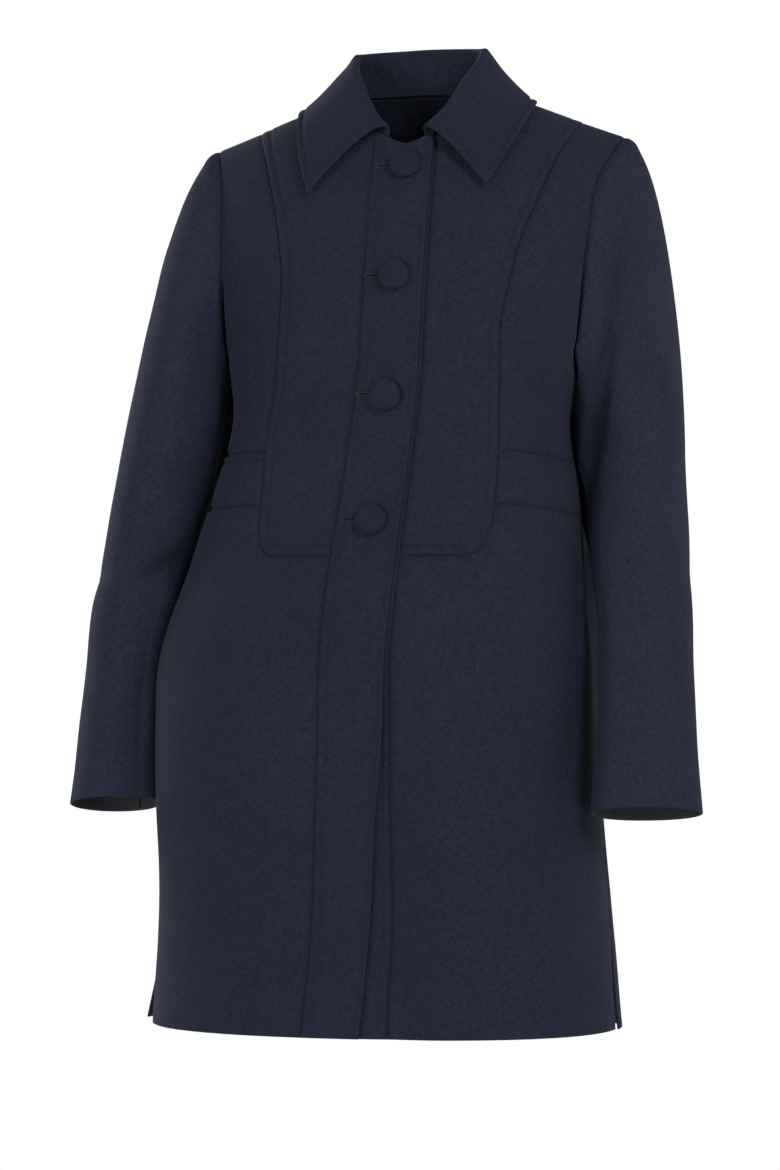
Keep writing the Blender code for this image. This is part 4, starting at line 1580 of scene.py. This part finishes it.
    def stitch_lines(self) -> list[Patch]:
        """Lines of stitching on this front."""
        return [self.bib_line(self.bib_stitch), self.waist_line(self.form.waist_top - self.waist_stitch)]

    def seam_lines(self) -> list[Patch]:
        """Seams of this front."""
        waist = [self.waist_line(height) for height in (self.form.waist_foot, self.form.waist_top)]
        return [self.bib_line(0.0), *waist, self.side_line()]

    def build(self, tailor: Tailor) -> None:
        """Sews the four pieces of this front.

        Args:
            tailor: Maker of the pieces.
        """
        sheets = {
            "bib": self.bib(),
            "side_front": self.side_front(),
            "waist_inset": self.waist_inset(),
            "front_skirt": self.skirt(),
        }
        for kind, sheet in sheets.items():
            tailor.sew(f"{self.side.label}_{kind}", sheet, Group.BODY)


@dataclass
class FrontBands:
    """Over band with the buttonholes, and under band that lies in below it."""

    form: BodyForm
    seam_stitch: float = 0.0085
    edge_stitch: float = 0.0047
    under_stitch: float = 0.0078
    hem_clear: float = 0.004
    neck_clear: float = 0.012
    neck_across: float = 0.02
    skirt_steps: int = 120
    chest_steps: int = 60
    spaces: int = 6

    def levels(self) -> Array:
        """Row levels from the hem to the neckline."""
        low = spread(self.form.hem - self.form.underarm, 0.0, SKIRT_STEP)
        return np.concatenate([low[:-1], np.linspace(0.0, 1.0, CHEST_ROWS)])[:, None]

    def limits(self, side: Side, level: Array) -> tuple[Array, Array]:
        """Offsets of a band's two long edges.

        Args:
            side: Right for the over band, left for the under band.
            level: Levels to read them at.

        Returns:
            The edge to the wearer's right and the edge to the left.
        """
        if side is Side.RIGHT:
            return -self.form.seam(BAND_SEAM, side, level), self.form.seam(OVER_BAND_EDGE, side, level)
        return np.full(np.shape(level), -self.form.under_band_reach), self.form.seam(BAND_SEAM, side, level)

    def lift(self, side: Side, share: Array, level: Array) -> Array:
        """Gives how far out a band lies.

        Args:
            side: Right for the over band, left for the under band.
            share: Share of the way across it.
            level: Levels to read it at.

        Returns:
            The lifts.
        """
        if side is Side.RIGHT:
            return np.full(np.broadcast_shapes(np.shape(share), np.shape(level)), LAP)
        return LAP - self.form.lap_drop - self.form.fold(level) * share**2

    def band(self, side: Side) -> Sheet:
        """Builds a band.

        Args:
            side: Right for the over band, left for the under band.

        Returns:
            Its sheet, from the hem to the neckline.
        """
        form = self.form
        levels = self.levels()
        near, far = self.limits(side, levels)
        start, end = (NAP_STITCH, EDGE_STITCH) if side is Side.RIGHT else (PLAIN_EDGE, NAP_STITCH)
        across = fill(near + np.array(start), far - np.array(end)[::-1], self.spaces)
        width = (across - near) / (far - near)
        levels = form.stretched(levels, form.neck_level(across[-1], form.neck_front))
        return Sheet.from_grid(form.lay(form.turn(across, levels), levels, self.lift(side, width, levels)))

    def line(self, side: Side, inset: float, at_far: bool) -> Patch:
        """Traces a line along a band.

        Args:
            side: Right for the over band, left for the under band.
            inset: How far inside the edge.
            at_far: Whether it runs along the edge to the wearer's left.

        Returns:
            The line from the hem to the neckline.
        """
        form = self.form
        top = float(form.neck_level(np.array(self.neck_across), form.neck_front)) - self.neck_clear
        low = np.linspace(form.hem - form.underarm + self.hem_clear, 0.0, self.skirt_steps)[:-1]
        level = np.concatenate([low, np.linspace(0.0, top, self.chest_steps)])
        near, far = self.limits(side, level)
        across = far - inset if at_far else near + inset
        lift = self.lift(side, (across - near) / (far - near), level)
        return form.lay(form.turn(across, level), level, lift)

    def stitch_lines(self) -> list[Patch]:
        """Lines of stitching on the bands."""
        over = [self.line(Side.RIGHT, self.seam_stitch, False), self.line(Side.RIGHT, self.edge_stitch, True)]
        return [*over, self.line(Side.LEFT, self.under_stitch, True)]

    def seam_lines(self) -> list[Patch]:
        """Seams of the bands."""
        return [self.line(Side.RIGHT, 0.0, False), self.line(Side.LEFT, 0.0, True)]

    def build(self, tailor: Tailor) -> None:
        """Sews the two bands."""
        tailor.sew("over_band", self.band(Side.RIGHT), Group.BODY)
        tailor.sew("under_band", self.band(Side.LEFT), Group.BODY)


@dataclass
class BackPanel:
    """Back in one piece between the side seams, flaring at the side vents."""

    form: BodyForm
    neck_steps: int = 14
    shoulder_steps: int = 28
    vent_curve: float = 1.3
    vent_spread: float = 14.0

    def half(self, side: Side) -> tuple[Array, Array]:
        """Lays out one half.

        Args:
            side: Side of the coat.

        Returns:
            Turns and levels from the centre to the side seam and armhole.
        """
        form = self.form
        low = spread(form.hem - form.underarm, 0.0, SKIRT_STEP)
        levels = np.concatenate([low[:-1], form.shoulder_levels()])[:, None]
        neck = form.neck_half * np.sin(np.linspace(0.0, math.pi / 2, self.neck_steps + 1))
        end = float(form.seam(ARMHOLE, side, np.array(1.0)))
        top_row = np.concatenate([neck, np.linspace(form.neck_half, end, self.shoulder_steps + 1)[1:]])
        share = form.turn(top_row, 1.0) / form.side_turn(side, 1.0)
        turn = 180.0 - share * form.side_turn(side, levels)
        return side.value * turn, form.stretched(levels, form.neck_level(top_row, form.neck_back))

    def build(self, tailor: Tailor) -> None:
        """Sews the back.

        Args:
            tailor: Maker of the pieces.
        """
        form = self.form
        right_turn, right_level = self.half(Side.RIGHT)
        left_turn, left_level = self.half(Side.LEFT)
        turn = np.concatenate([right_turn[:, :0:-1], left_turn], axis=1)
        level = np.concatenate([right_level[:, :0:-1], left_level], axis=1)
        below_vent = (form.vent_top - form.underarm - level) / (form.vent_top - form.hem)
        open_way = np.clip(below_vent, 0.0, 1.0) ** self.vent_curve
        near_side = np.exp(-(((np.abs(turn) - 90.0) / self.vent_spread) ** 2))
        flare = np.where(turn < 0, form.vent_flare_right, form.vent_flare_left) * open_way * near_side
        tailor.sew("back", Sheet.from_grid(form.lay(turn, level, flare)), Group.BODY)


@dataclass
class Sleeve:
    """Two-piece set-in sleeve with an open cuff."""

    form: BodyForm
    side: Side
    cap_top: CapReach = CapReach(0.125, 0.050, 0.330)
    cap_under: CapReach = CapReach(0.004, 0.000, 0.070)
    under: tuple[float, float] = (222.0, 28.0)
    fold: tuple[float, float] = (166.0, 20.0)
    box: tuple[float, float] = (150.0, 26.0)
    cap_steps: int = 44
    arm_step: float = 0.0052
    head_puff: float = 0.0016
    puff_place: float = 0.011
    puff_width: float = 0.008

    @property
    def rows(self) -> Sequence[ArmRow]:
        """Sections of this arm."""
        return LEFT_ARM if self.side is Side.LEFT else RIGHT_ARM

    def armhole(self) -> tuple[Array, Array, int, int]:
        """Traces the armhole from the shoulder down the front, under the arm and up the back.

        Returns:
            Its points, the body's directions there, and the columns of the two sleeve seams.
        """
        down = self.form.shoulder_levels()[::-1]
        up = down[::-1][1:-1]
        front = int(np.argmin(np.abs(down - FRONT_SPLIT)))
        back = len(down) + int(np.argmin(np.abs(up - BACK_SPLIT)))
        front_turn, back_turn = (self.form.side_turn(self.side, level) for level in (down, up))
        turn = np.concatenate([front_turn, 180.0 - back_turn])
        points, normals = self.form.lay(self.side.value * turn, np.concatenate([down, up]))
        return points, normals, front, back

    def ring(self, height: float, bearing: Array) -> Array:
        """Gives a ring across the arm.

        Args:
            height: Height of the ring's middle.
            bearing: Angles round it, 0 on the outer side and a quarter turn at the front.

        Returns:
            Its points.
        """
        read = {name: float(smooth_column(self.rows, "height", name, height)) for name in ArmRow._fields[1:]}
        pitch = math.radians(read["pitch"])
        out = np.array([self.side.value, 0.0, 0.0])
        fore = np.array([0.0, -math.cos(pitch), math.sin(pitch)])
        centre = np.array([read["x"], read["y"], height])
        rise = {}
        for name, (middle, width) in (("under", self.under), ("fold", self.fold), ("box", self.box)):
            rise[name] = read[name] * np.exp(-(((np.degrees(bearing) - middle) / width) ** 2))
        wide = read["half_width"] * np.cos(bearing) - rise["under"] - rise["fold"]
        deep = read["half_depth"] * np.sin(bearing) + rise["box"]
        return centre + wide[:, None] * out + deep[:, None] * fore

    def tube(self) -> tuple[Array, Array, int, int]:
        """Builds the whole sleeve as rings from the armhole to the cuff.

        Returns:
            Its points, outward directions, and the columns of the two sleeve seams.
        """
        rows = self.rows
        rim, rim_normal, front, back = self.armhole()
        step = np.linalg.norm(np.roll(rim, -1, axis=0) - rim, axis=1)
        bearing = 2 * math.pi * np.concatenate([[0.0], np.cumsum(step)[:-1]]) / step.sum()
        top = rows[-1].height
        biceps = self.ring(top, bearing)
        high = (1.0 + np.cos(bearing))[:, None] / 2
        reach = [self.cap_under[k] + (self.cap_top[k] - self.cap_under[k]) * high for k in range(3)]
        out = np.array([self.side.value, 0.0, 0.0])
        down = np.array([rows[-2].x - rows[-1].x, rows[-2].y - rows[-1].y, rows[-2].height - rows[-1].height])
        start_pull = reach[0] * out - reach[1] * np.array([0.0, 0.0, 1.0])
        shares = np.linspace(0.0, 1.0, self.cap_steps + 1)
        rings = [hermite(rim, start_pull, biceps, reach[2] * unit(down), share) for share in shares]
        count = int(round((top - rows[0].height) / self.arm_step))
        rings += [self.ring(height, bearing) for height in np.linspace(top, rows[0].height, count + 1)[1:]]
        points = np.array(rings)
        round_way = np.roll(points, -1, axis=1) - np.roll(points, 1, axis=1)
        normals = unit(np.cross(round_way, np.gradient(points, axis=0)) * self.side.value)
        like_body = ease(-0.5, 0.3, np.cos(bearing))[:, None]
        normals[0] += like_body * (rim_normal - normals[0])
        normals = unit(normals)
        from_seam = along(points, 0)
        puff = np.exp(-(((from_seam - self.puff_place) / self.puff_width) ** 2))
        puff = puff * ease(-0.2, 0.9, np.cos(bearing))
        return points + (self.head_puff * puff)[..., None] * normals, normals, front, back

    def seam_lines(self) -> list[Patch]:
        """Armhole seam."""
        points, normals, _, _ = self.tube()
        return [(points[0], normals[0])]

    def build(self, tailor: Tailor) -> None:
        """Sews the upper and the under sleeve.

        Args:
            tailor: Maker of the pieces.
        """
        points, normals, front, back = self.tube()
        count = points.shape[1]
        group = Group.LEFT_SLEEVE if self.side is Side.LEFT else Group.RIGHT_SLEEVE
        upper = [k % count for k in range(back, count + front + 1)]
        under = list(range(front, back + 1))
        for kind, columns in (("upper_sleeve", upper), ("under_sleeve", under)):
            sheet = Sheet.from_grid((points[:, columns], normals[:, columns]))
            tailor.sew(f"{self.side.label}_{kind}", sheet, group)


@dataclass
class TurnDownCollar:
    """Collar: a stand from the neckline, rolled over into the fall."""

    form: BodyForm
    full_stand: float = 0.036
    shift: float = 0.0055
    shift_start: float = 100.0
    bow_right: float = 0.010
    bow_left: float = 0.004
    bow_start: float = 128.0
    stitch: float = 0.0065
    stitch_start: float = 0.4
    stitch_slack: float = 0.0002
    stitch_row: int = -8
    edge_spacing: tuple[float, ...] = (8.0, 7.0, 6.1, 5.4, 4.8, 4.2, 3.6, 3.0, 2.2, 1.3, 0.0)
    back_spacing: float = 4.0
    side_spacing: float = 2.6
    glide: float = 0.9
    stand_steps: int = 6
    fall_steps: int = 1440
    even_rows: int = 160

    def angles(self) -> tuple[Array, Array]:
        """Spaces the columns round the neck, close at the front edges.

        Returns:
            Their angles from the centre back, and the side that each is on.
        """
        front_end = COLLAR[-1].angle
        back = np.arange(0.0, 90.0, self.back_spacing)
        side = np.arange(90.0, front_end - 9.0, self.side_spacing)
        half = np.concatenate([back, side, front_end - np.array(self.edge_spacing)])
        sign = np.concatenate([-np.ones(len(half) - 1), np.ones(len(half))])
        return np.concatenate([half[:0:-1], half]), sign

    def under_side(self) -> Array:
        """Runs the collar's under side from the neckline up, over the roll and down to its edge.

        Returns:
            Points, a row for each step and a column for each station.
        """
        form = self.form
        angle, sign = self.angles()
        read = {name: smooth_column(COLLAR, "angle", name, angle) for name in Station._fields[1:]}
        across = form.neck_half * np.sin(np.radians(angle))
        ahead = angle > 90.0
        front, back = (form.neck_level(across, foot) for foot in (form.neck_front, form.neck_back))
        level = np.where(ahead, front, back)
        turn = form.turn(across, level)
        seam, seam_normal = form.lay(sign * np.where(ahead, turn, 180.0 - turn), level)
        way = np.gradient(seam, axis=0)
        away = unit(np.stack([-way[:, 1], way[:, 0], np.zeros(len(way))], axis=1))
        up = np.array([0.0, 0.0, 1.0])
        foot = seam - away * SEAM_GAP * 2 + up * SEAM_GAP
        top = foot + up * read["stand"][:, None] - away * read["inward"][:, None]
        edge_level = 1.0 - np.abs(read["over"])
        front_end = COLLAR[-1].angle
        shift = sign * self.shift * ease(self.shift_start, front_end, angle)
        edge_turn = form.turn(read["across"] - shift, edge_level)
        edge_turn = sign * np.where(read["over"] < 0, edge_turn, 180.0 - edge_turn)
        edge, lie = form.lay(edge_turn, edge_level, read["clear"])
        drop = edge - top
        glide = unit(drop - lie * np.sum(drop * lie, axis=1, keepdims=True))
        glide = glide * self.glide * np.linalg.norm(drop, axis=1, keepdims=True)
        upright = np.clip(read["stand"] / self.full_stand, 0.0, 1.0)[:, None]
        rise = unit(unit(top - foot) * upright + seam_normal * (1.0 - upright)) * read["roll"][:, None]
        lines = [foot + (top - foot) * k / self.stand_steps for k in range(self.stand_steps + 1)]
        bow = np.where(sign < 0, self.bow_right, self.bow_left) * ease(self.bow_start, front_end, angle)
        aside = unit(up - lie * (lie @ up)[:, None]) * bow[:, None]
        for share in np.linspace(0.0, 1.0, self.fall_steps + 1)[1:]:
            lines.append(hermite(top, rise, edge, glide, share) + aside * math.sin(math.pi * share))
        return np.array(lines)

    def leaf(self) -> Patch:
        """Spaces the collar's rows, closer where its stitching runs.

        Returns:
            Points and outward directions of its outer face.
        """
        under = self.under_side()
        normals = unit(np.cross(np.gradient(under, axis=1), np.gradient(under, axis=0)))
        outer = np.concatenate([under + COLLAR_WALL * normals, normals], axis=2)
        way = along(outer[..., :3], 0)
        close = np.array(COLLAR_STITCH)[::-1]
        columns = []
        for column in range(under.shape[1]):
            length = way[-1, column]
            at = np.concatenate([np.linspace(0.0, length - close[0], self.even_rows)[:-1], length - close])
            columns.append([np.interp(at, way[:, column], outer[:, column, k]) for k in range(6)])
        even = np.array(columns).transpose(2, 0, 1)
        return even[..., :3], unit(even[..., 3:])

    def inset(self, way: Array, values: Array) -> Array:
        """Reads one row or column of the collar where its stitching crosses.

        Args:
            way: Distances of its points from the edge.
            values: Values at its points, a column for each kind.

        Returns:
            One value of each kind.
        """
        order = np.argsort(way)
        return np.array([np.interp(self.stitch, way[order], kind[order]) for kind in values.T])

    def stitch_lines(self) -> list[Patch]:
        """Traces the stitching inside the front edges and the outer edge.

        Returns:
            One line for each front edge and one for the outer edge.
        """
        points, normals = self.leaf()
        to_edge = along(points, 0, from_end=True)
        grid = np.concatenate([points, normals, to_edge[..., None]], axis=2)
        to_front = [along(points, 1, from_end) for from_end in (False, True)]
        lines = []
        for way in to_front:
            line = np.array([self.inset(*row) for row in zip(way, grid)])
            line = line[int(len(line) * self.stitch_start) :]
            lines.append(line[line[:, 6] > self.stitch - self.stitch_slack])
        inside = np.minimum(*to_front)[self.stitch_row] > self.stitch - 2 * self.stitch_slack
        columns = zip(to_edge.T[inside], grid.transpose(1, 0, 2)[inside])
        lines.append(np.array([self.inset(*column) for column in columns]))
        return [(line[:, :3], unit(line[:, 3:6])) for line in lines]

    def build(self, tailor: Tailor) -> None:
        """Sews the collar."""
        tailor.sew("collar", Sheet.from_grid(self.leaf()), Group.COLLAR, wall=COLLAR_WALL)


@dataclass(frozen=True)
class Threads:
    """Many short threads of one size, joined into one mesh."""

    length: float
    radius: float
    crown: float
    sides: int = 6

    def lay(self, middles: Array, ways: Array, outs: Array) -> Patch:
        """Lays a thread at each place.

        Args:
            middles: Middles of the threads on the cloth.
            ways: Directions that they run in.
            outs: Outward directions of the cloth.

        Returns:
            Points and faces of them all.
        """
        ways, outs = unit(ways), unit(outs)
        across = unit(np.cross(outs, ways))
        stations = np.array((-0.5, -0.36, 0.0, 0.36, 0.5))
        thick = np.array((0.25, 0.85, 1.0, 0.85, 0.25)) * self.radius
        arch = self.crown * (1.0 - (stations / 0.5) ** 2) - self.radius * 0.45
        angle = np.linspace(0.0, 2 * math.pi, self.sides, endpoint=False)
        shape = np.empty((len(stations), self.sides, 3))
        shape[..., 0] = (stations * self.length)[:, None]
        shape[..., 1] = thick[:, None] * np.cos(angle)
        shape[..., 2] = arch[:, None] + thick[:, None] * np.sin(angle)
        flat = shape.reshape(-1, 3)
        axes = np.stack([ways, across, outs], axis=1)
        points = middles[:, None, :] + np.einsum("vk,nkj->nvj", flat, axes)
        index, _, sides = ring_faces(len(stations), self.sides)
        caps = []
        for ring, flip in ((index[0], True), (index[-1], False)):
            for k in range(self.sides // 2 - 1):
                quad = [ring[k], ring[k + 1], ring[self.sides - 2 - k], ring[self.sides - 1 - k]]
                caps.append(quad[::-1] if flip else quad)
        one = np.concatenate([sides, np.array(caps)])
        faces = one[None] + (np.arange(len(middles)) * len(flat))[:, None, None]
        return points.reshape(-1, 3), faces.reshape(-1, 4)


@dataclass
class CoveredButtons:
    """Four domed buttons covered in the coat's cloth, with their buttonholes."""

    form: BodyForm
    segments: int = 72
    pleats: int = 18
    pleat_depth: float = 0.00010
    pleat_turn: float = 0.7
    pleat_rise: float = 0.0034
    pleat_width: float = 0.0016
    shank: float = 0.005
    hole_reach: float = 0.0262
    hole_back: float = 0.0060
    bar_pitch: float = 0.00075
    bar_length: float = 0.0013
    bar_radius: float = 0.00030
    bar_crown: float = 0.00022
    slit_half: float = 0.00090
    slit_lift: float = 0.0002
    fan: tuple[float, float, int] = (105.0, 255.0, 9)

    def seat(self, place: ButtonPlace, lift: float) -> tuple[Array, Array, Array, Array]:
        """Finds where a button sits.

        Args:
            place: Its row in the table.
            lift: How far it stands out from the form.

        Returns:
            The seat's middle, the level way, the upright way and the outward way.
        """
        level = self.form.level(place.across, place.height)
        turn = self.form.turn(place.across, level)
        normal = self.form.normal(turn, level)
        level_way = unit(np.cross([0.0, 0.0, 1.0], normal))
        return self.form.point(turn, level) + normal * lift, level_way, np.cross(normal, level_way), normal

    def button(self, tailor: Tailor, number: int, place: ButtonPlace) -> None:
        """Builds one covered button.

        Args:
            tailor: Maker of the pieces.
            number: Which button it is, from the top.
            place: Its row in the table.
        """
        seat, level_way, upright, normal = self.seat(place, LAP + SEAM_GAP)
        angle = np.linspace(0.0, 2 * math.pi, self.segments, endpoint=False)
        profile = np.array(BUTTON_PROFILE[1:-1])
        gather = self.pleat_depth * np.sin(self.pleats * angle + self.pleat_turn * number)
        near_rim = np.exp(-(((profile[:, 1] - self.pleat_rise) / self.pleat_width) ** 2))[:, None]
        radius = profile[:, :1] + gather * near_rim * (profile[:, :1] > self.shank)
        rise = np.repeat(profile[:, 1:], self.segments, axis=1)
        ring = np.stack([radius * np.cos(angle), radius * np.sin(angle), rise], axis=-1)
        ends = [[0.0, 0.0, row.rise] for row in (BUTTON_PROFILE[0], BUTTON_PROFILE[-1])]
        flat = np.concatenate([ring.reshape(-1, 3), ends])
        points = seat + flat[:, :1] * level_way + flat[:, 1:2] * upright + flat[:, 2:] * normal
        index, turned, sides = ring_faces(len(profile), self.segments)
        foot, top = (np.full(self.segments, index.size + k) for k in range(2))
        faces = sides.tolist() + np.stack([foot, turned[0], index[0]], axis=1).tolist()
        faces += np.stack([top, index[-1], turned[-1]], axis=1).tolist()
        ragged = np.array(faces, dtype=object)
        # The covers take the button cloth, painted darker than the coat cloth for shade.
        piece = tailor.place(f"button_{number}_cover", points, ragged, tailor.button_wool)
        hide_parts(f"button_{number}")

    def hole(self, place: ButtonPlace) -> tuple[Array, list[tuple[Array, Array, Array]]]:
        """Lays out one buttonhole.

        Args:
            place: The button's row in the table.

        Returns:
            The slit's line, and the middles, ways and outward directions of its rows of thread.
        """
        run = np.arange(-self.hole_reach, self.hole_back, self.bar_pitch)
        level = self.form.level(place.across + run, place.height)
        line, normals = self.form.lay(self.form.turn(place.across + run, level), level, LAP + self.slit_lift)
        upright = np.array([0.0, 0.0, 1.0])
        offset = self.slit_half + self.bar_length / 2
        ways = np.tile(upright, (len(run), 1))
        rows = [(line + sign * offset * upright, ways, normals) for sign in (-1.0, 1.0)]
        fan = np.radians(np.linspace(*self.fan))
        level_way = unit(np.cross(upright, normals[0]))
        spokes = np.cos(fan)[:, None] * level_way + np.sin(fan)[:, None] * upright
        rows.append((line[0] + spokes * offset, spokes, np.tile(normals[0], (len(fan), 1))))
        return line, rows

    def build(self, tailor: Tailor) -> None:
        """Covers the buttons and works the buttonholes.

        Args:
            tailor: Maker of the pieces.
        """
        bars, slit_points, slit_faces = [], [], []
        tall = np.array([0.0, 0.0, self.slit_half])
        for number, place in enumerate(BUTTONS, start=1):
            self.button(tailor, number, place)
            line, rows = self.hole(place)
            bars += rows
            count = len(line)
            index = np.arange(count - 1) + sum(len(part) for part in slit_points)
            slit_points.append(np.concatenate([line - tall, line + tall]))
            slit_faces.append(np.stack([index, index + 1, index + 1 + count, index + count], axis=1))
        threads = Threads(self.bar_length, self.bar_radius, self.bar_crown)
        points, faces = threads.lay(*(np.concatenate(part) for part in zip(*bars)))
        tailor.place("buttonhole_threads", points, faces, HOLE_THREAD.material())
        # Each slit is a near-black sheet across the cut: painted shadow.
        points, faces = np.concatenate(slit_points), np.concatenate(slit_faces)
        tailor.place("buttonhole_slit_shadows", points, faces, SLIT_PAINTED_SHADOW.material())


@dataclass
class Topstitching:
    """Rows of machine stitches along the seams and edges."""

    pitch: float = 0.0034
    length: float = 0.0027
    radius: float = 0.00026
    crown: float = 0.00020

    def build(self, tailor: Tailor, name: str, lines: Sequence[Patch], group: Group) -> None:
        """Sews the stitches of several lines as one piece.

        Args:
            tailor: Maker of the pieces.
            name: Name of the piece.
            lines: The lines that they follow.
            group: Whose creases they lie in.
        """
        stitches = []
        for points, normals in lines:
            even, normals = resample(points, normals, self.pitch)
            height = tailor.relief.height(even, normals, group)
            even = even + (height + self.radius * 0.5)[:, None] * normals
            stitches.append(((even[1:] + even[:-1]) / 2, even[1:] - even[:-1], normals[1:] + normals[:-1]))
        threads = Threads(self.length, self.radius, self.crown)
        points, faces = threads.lay(*(np.concatenate(part) for part in zip(*stitches)))
        tailor.place(name, points, faces, TOP_THREAD.material())


@dataclass
class Studio:
    """White studio: pale floor, soft light and the camera."""

    floor_height: float = -1.42
    floor_radius: float = 3.0
    floor_points: int = 96
    distance: float = 4.5
    camera_x: float = -0.024
    camera_z: float = -0.466
    focal_pixels: float = 4639.0
    frame_pixels: float = 1170.0
    sensor: float = 36.0
    aim_height: float = -0.40
    surround_light: float = 0.14

    def floor(self) -> None:
        """Lays the floor."""
        radius = self.floor_radius
        turns = np.linspace(0.0, 2 * math.pi, self.floor_points, endpoint=False)
        points = [(radius * math.cos(turn), radius * math.sin(turn), self.floor_height) for turn in turns]
        mesh = bpy.data.meshes.new("studio_floor")
        mesh.from_pydata(points, [], [list(range(len(points)))])
        paint, board, shader = start_material("pale_floor")
        mottle = board.add("ShaderNodeTexNoise", Vector=board.coords(), Scale=3.0, Detail=4.0).outputs[0]
        board.put(shader, "Base Color", board.mix(mottle, (0.86, 0.86, 0.86, 1.0), (0.90, 0.90, 0.90, 1.0)))
        board.put(shader, "Roughness", 0.9)
        mesh.materials.append(paint)
        link("studio_floor", mesh)

    def lamp(self, row: LampRow) -> None:
        """Hangs one soft lamp aimed at the coat's middle.

        Args:
            row: Its name, place, size and power.
        """
        data = bpy.data.lights.new(row.name, "AREA")
        data.shape = "DISK"
        data.size = row.size
        data.energy = row.power
        lamp = link(row.name, data)
        lamp.location = (row.x, row.y, row.z)
        aim = Vector((0.0, 0.0, self.aim_height)) - lamp.location
        lamp.rotation_euler = aim.to_track_quat("-Z", "Y").to_euler()

    def surround(self) -> None:
        """Sets the white surround, pure white to the camera and dimmer as light."""
        world = bpy.data.worlds.new("white_studio")
        world.use_nodes = True
        board = NodeBoard(world.node_tree)
        sky = world.node_tree.nodes["Background"]
        board.put(sky, "Color", (1.0, 1.0, 1.0, 1.0))
        seen = world.node_tree.nodes.new("ShaderNodeLightPath").outputs["Is Camera Ray"]
        board.put(sky, "Strength", board.math("MAXIMUM", seen, self.surround_light))
        bpy.context.scene.world = world

    def camera(self) -> None:
        """Sets the camera level, as the coat was photographed."""
        data = bpy.data.cameras.new("studio_camera")
        data.sensor_width = self.sensor
        data.lens = self.focal_pixels / self.frame_pixels * self.sensor
        camera = link("studio_camera", data)
        camera.location = (self.camera_x, -self.distance, self.camera_z)
        camera.rotation_euler = (math.pi / 2, 0.0, 0.0)
        bpy.context.scene.camera = camera

    def build(self) -> None:
        """Sets up the whole studio."""
        self.floor()
        for lamp in LAMPS:
            self.lamp(lamp)
        self.surround()
        self.camera()
        bpy.context.scene.view_settings.view_transform = "Standard"


def main() -> None:
    """Builds the coat's pieces in the order that a maker sews them."""
    logging.basicConfig(level=logging.INFO, format="%(name)s %(message)s")
    form = BodyForm()
    relief = Relief()
    fronts = [FrontPanels(form, side) for side in Side]
    bands = FrontBands(form)
    sleeves = [Sleeve(form, side) for side in Side]
    collar = TurnDownCollar(form)
    front_lines = [line for front in fronts for line in front.stitch_lines()]
    band_lines = bands.stitch_lines()
    collar_lines = collar.stitch_lines()
    seams = [line for part in (*fronts, bands, *sleeves) for line in part.seam_lines()]
    relief.seams = [points for points, _ in seams]
    relief.stitches = [points for points, _ in front_lines + band_lines + collar_lines]
    relief.settle()
    tailor = Tailor(relief)
    for part in (*fronts, bands, BackPanel(form), *sleeves, collar, CoveredButtons(form)):
        part.build(tailor)
    stitching = Topstitching()
    stitching.build(tailor, "front_stitching", front_lines, Group.BODY)
    stitching.build(tailor, "band_stitching", band_lines, Group.BODY)
    stitching.build(tailor, "collar_stitching", collar_lines, Group.COLLAR)
    Studio().build()


if __name__ == "__main__":
    main()
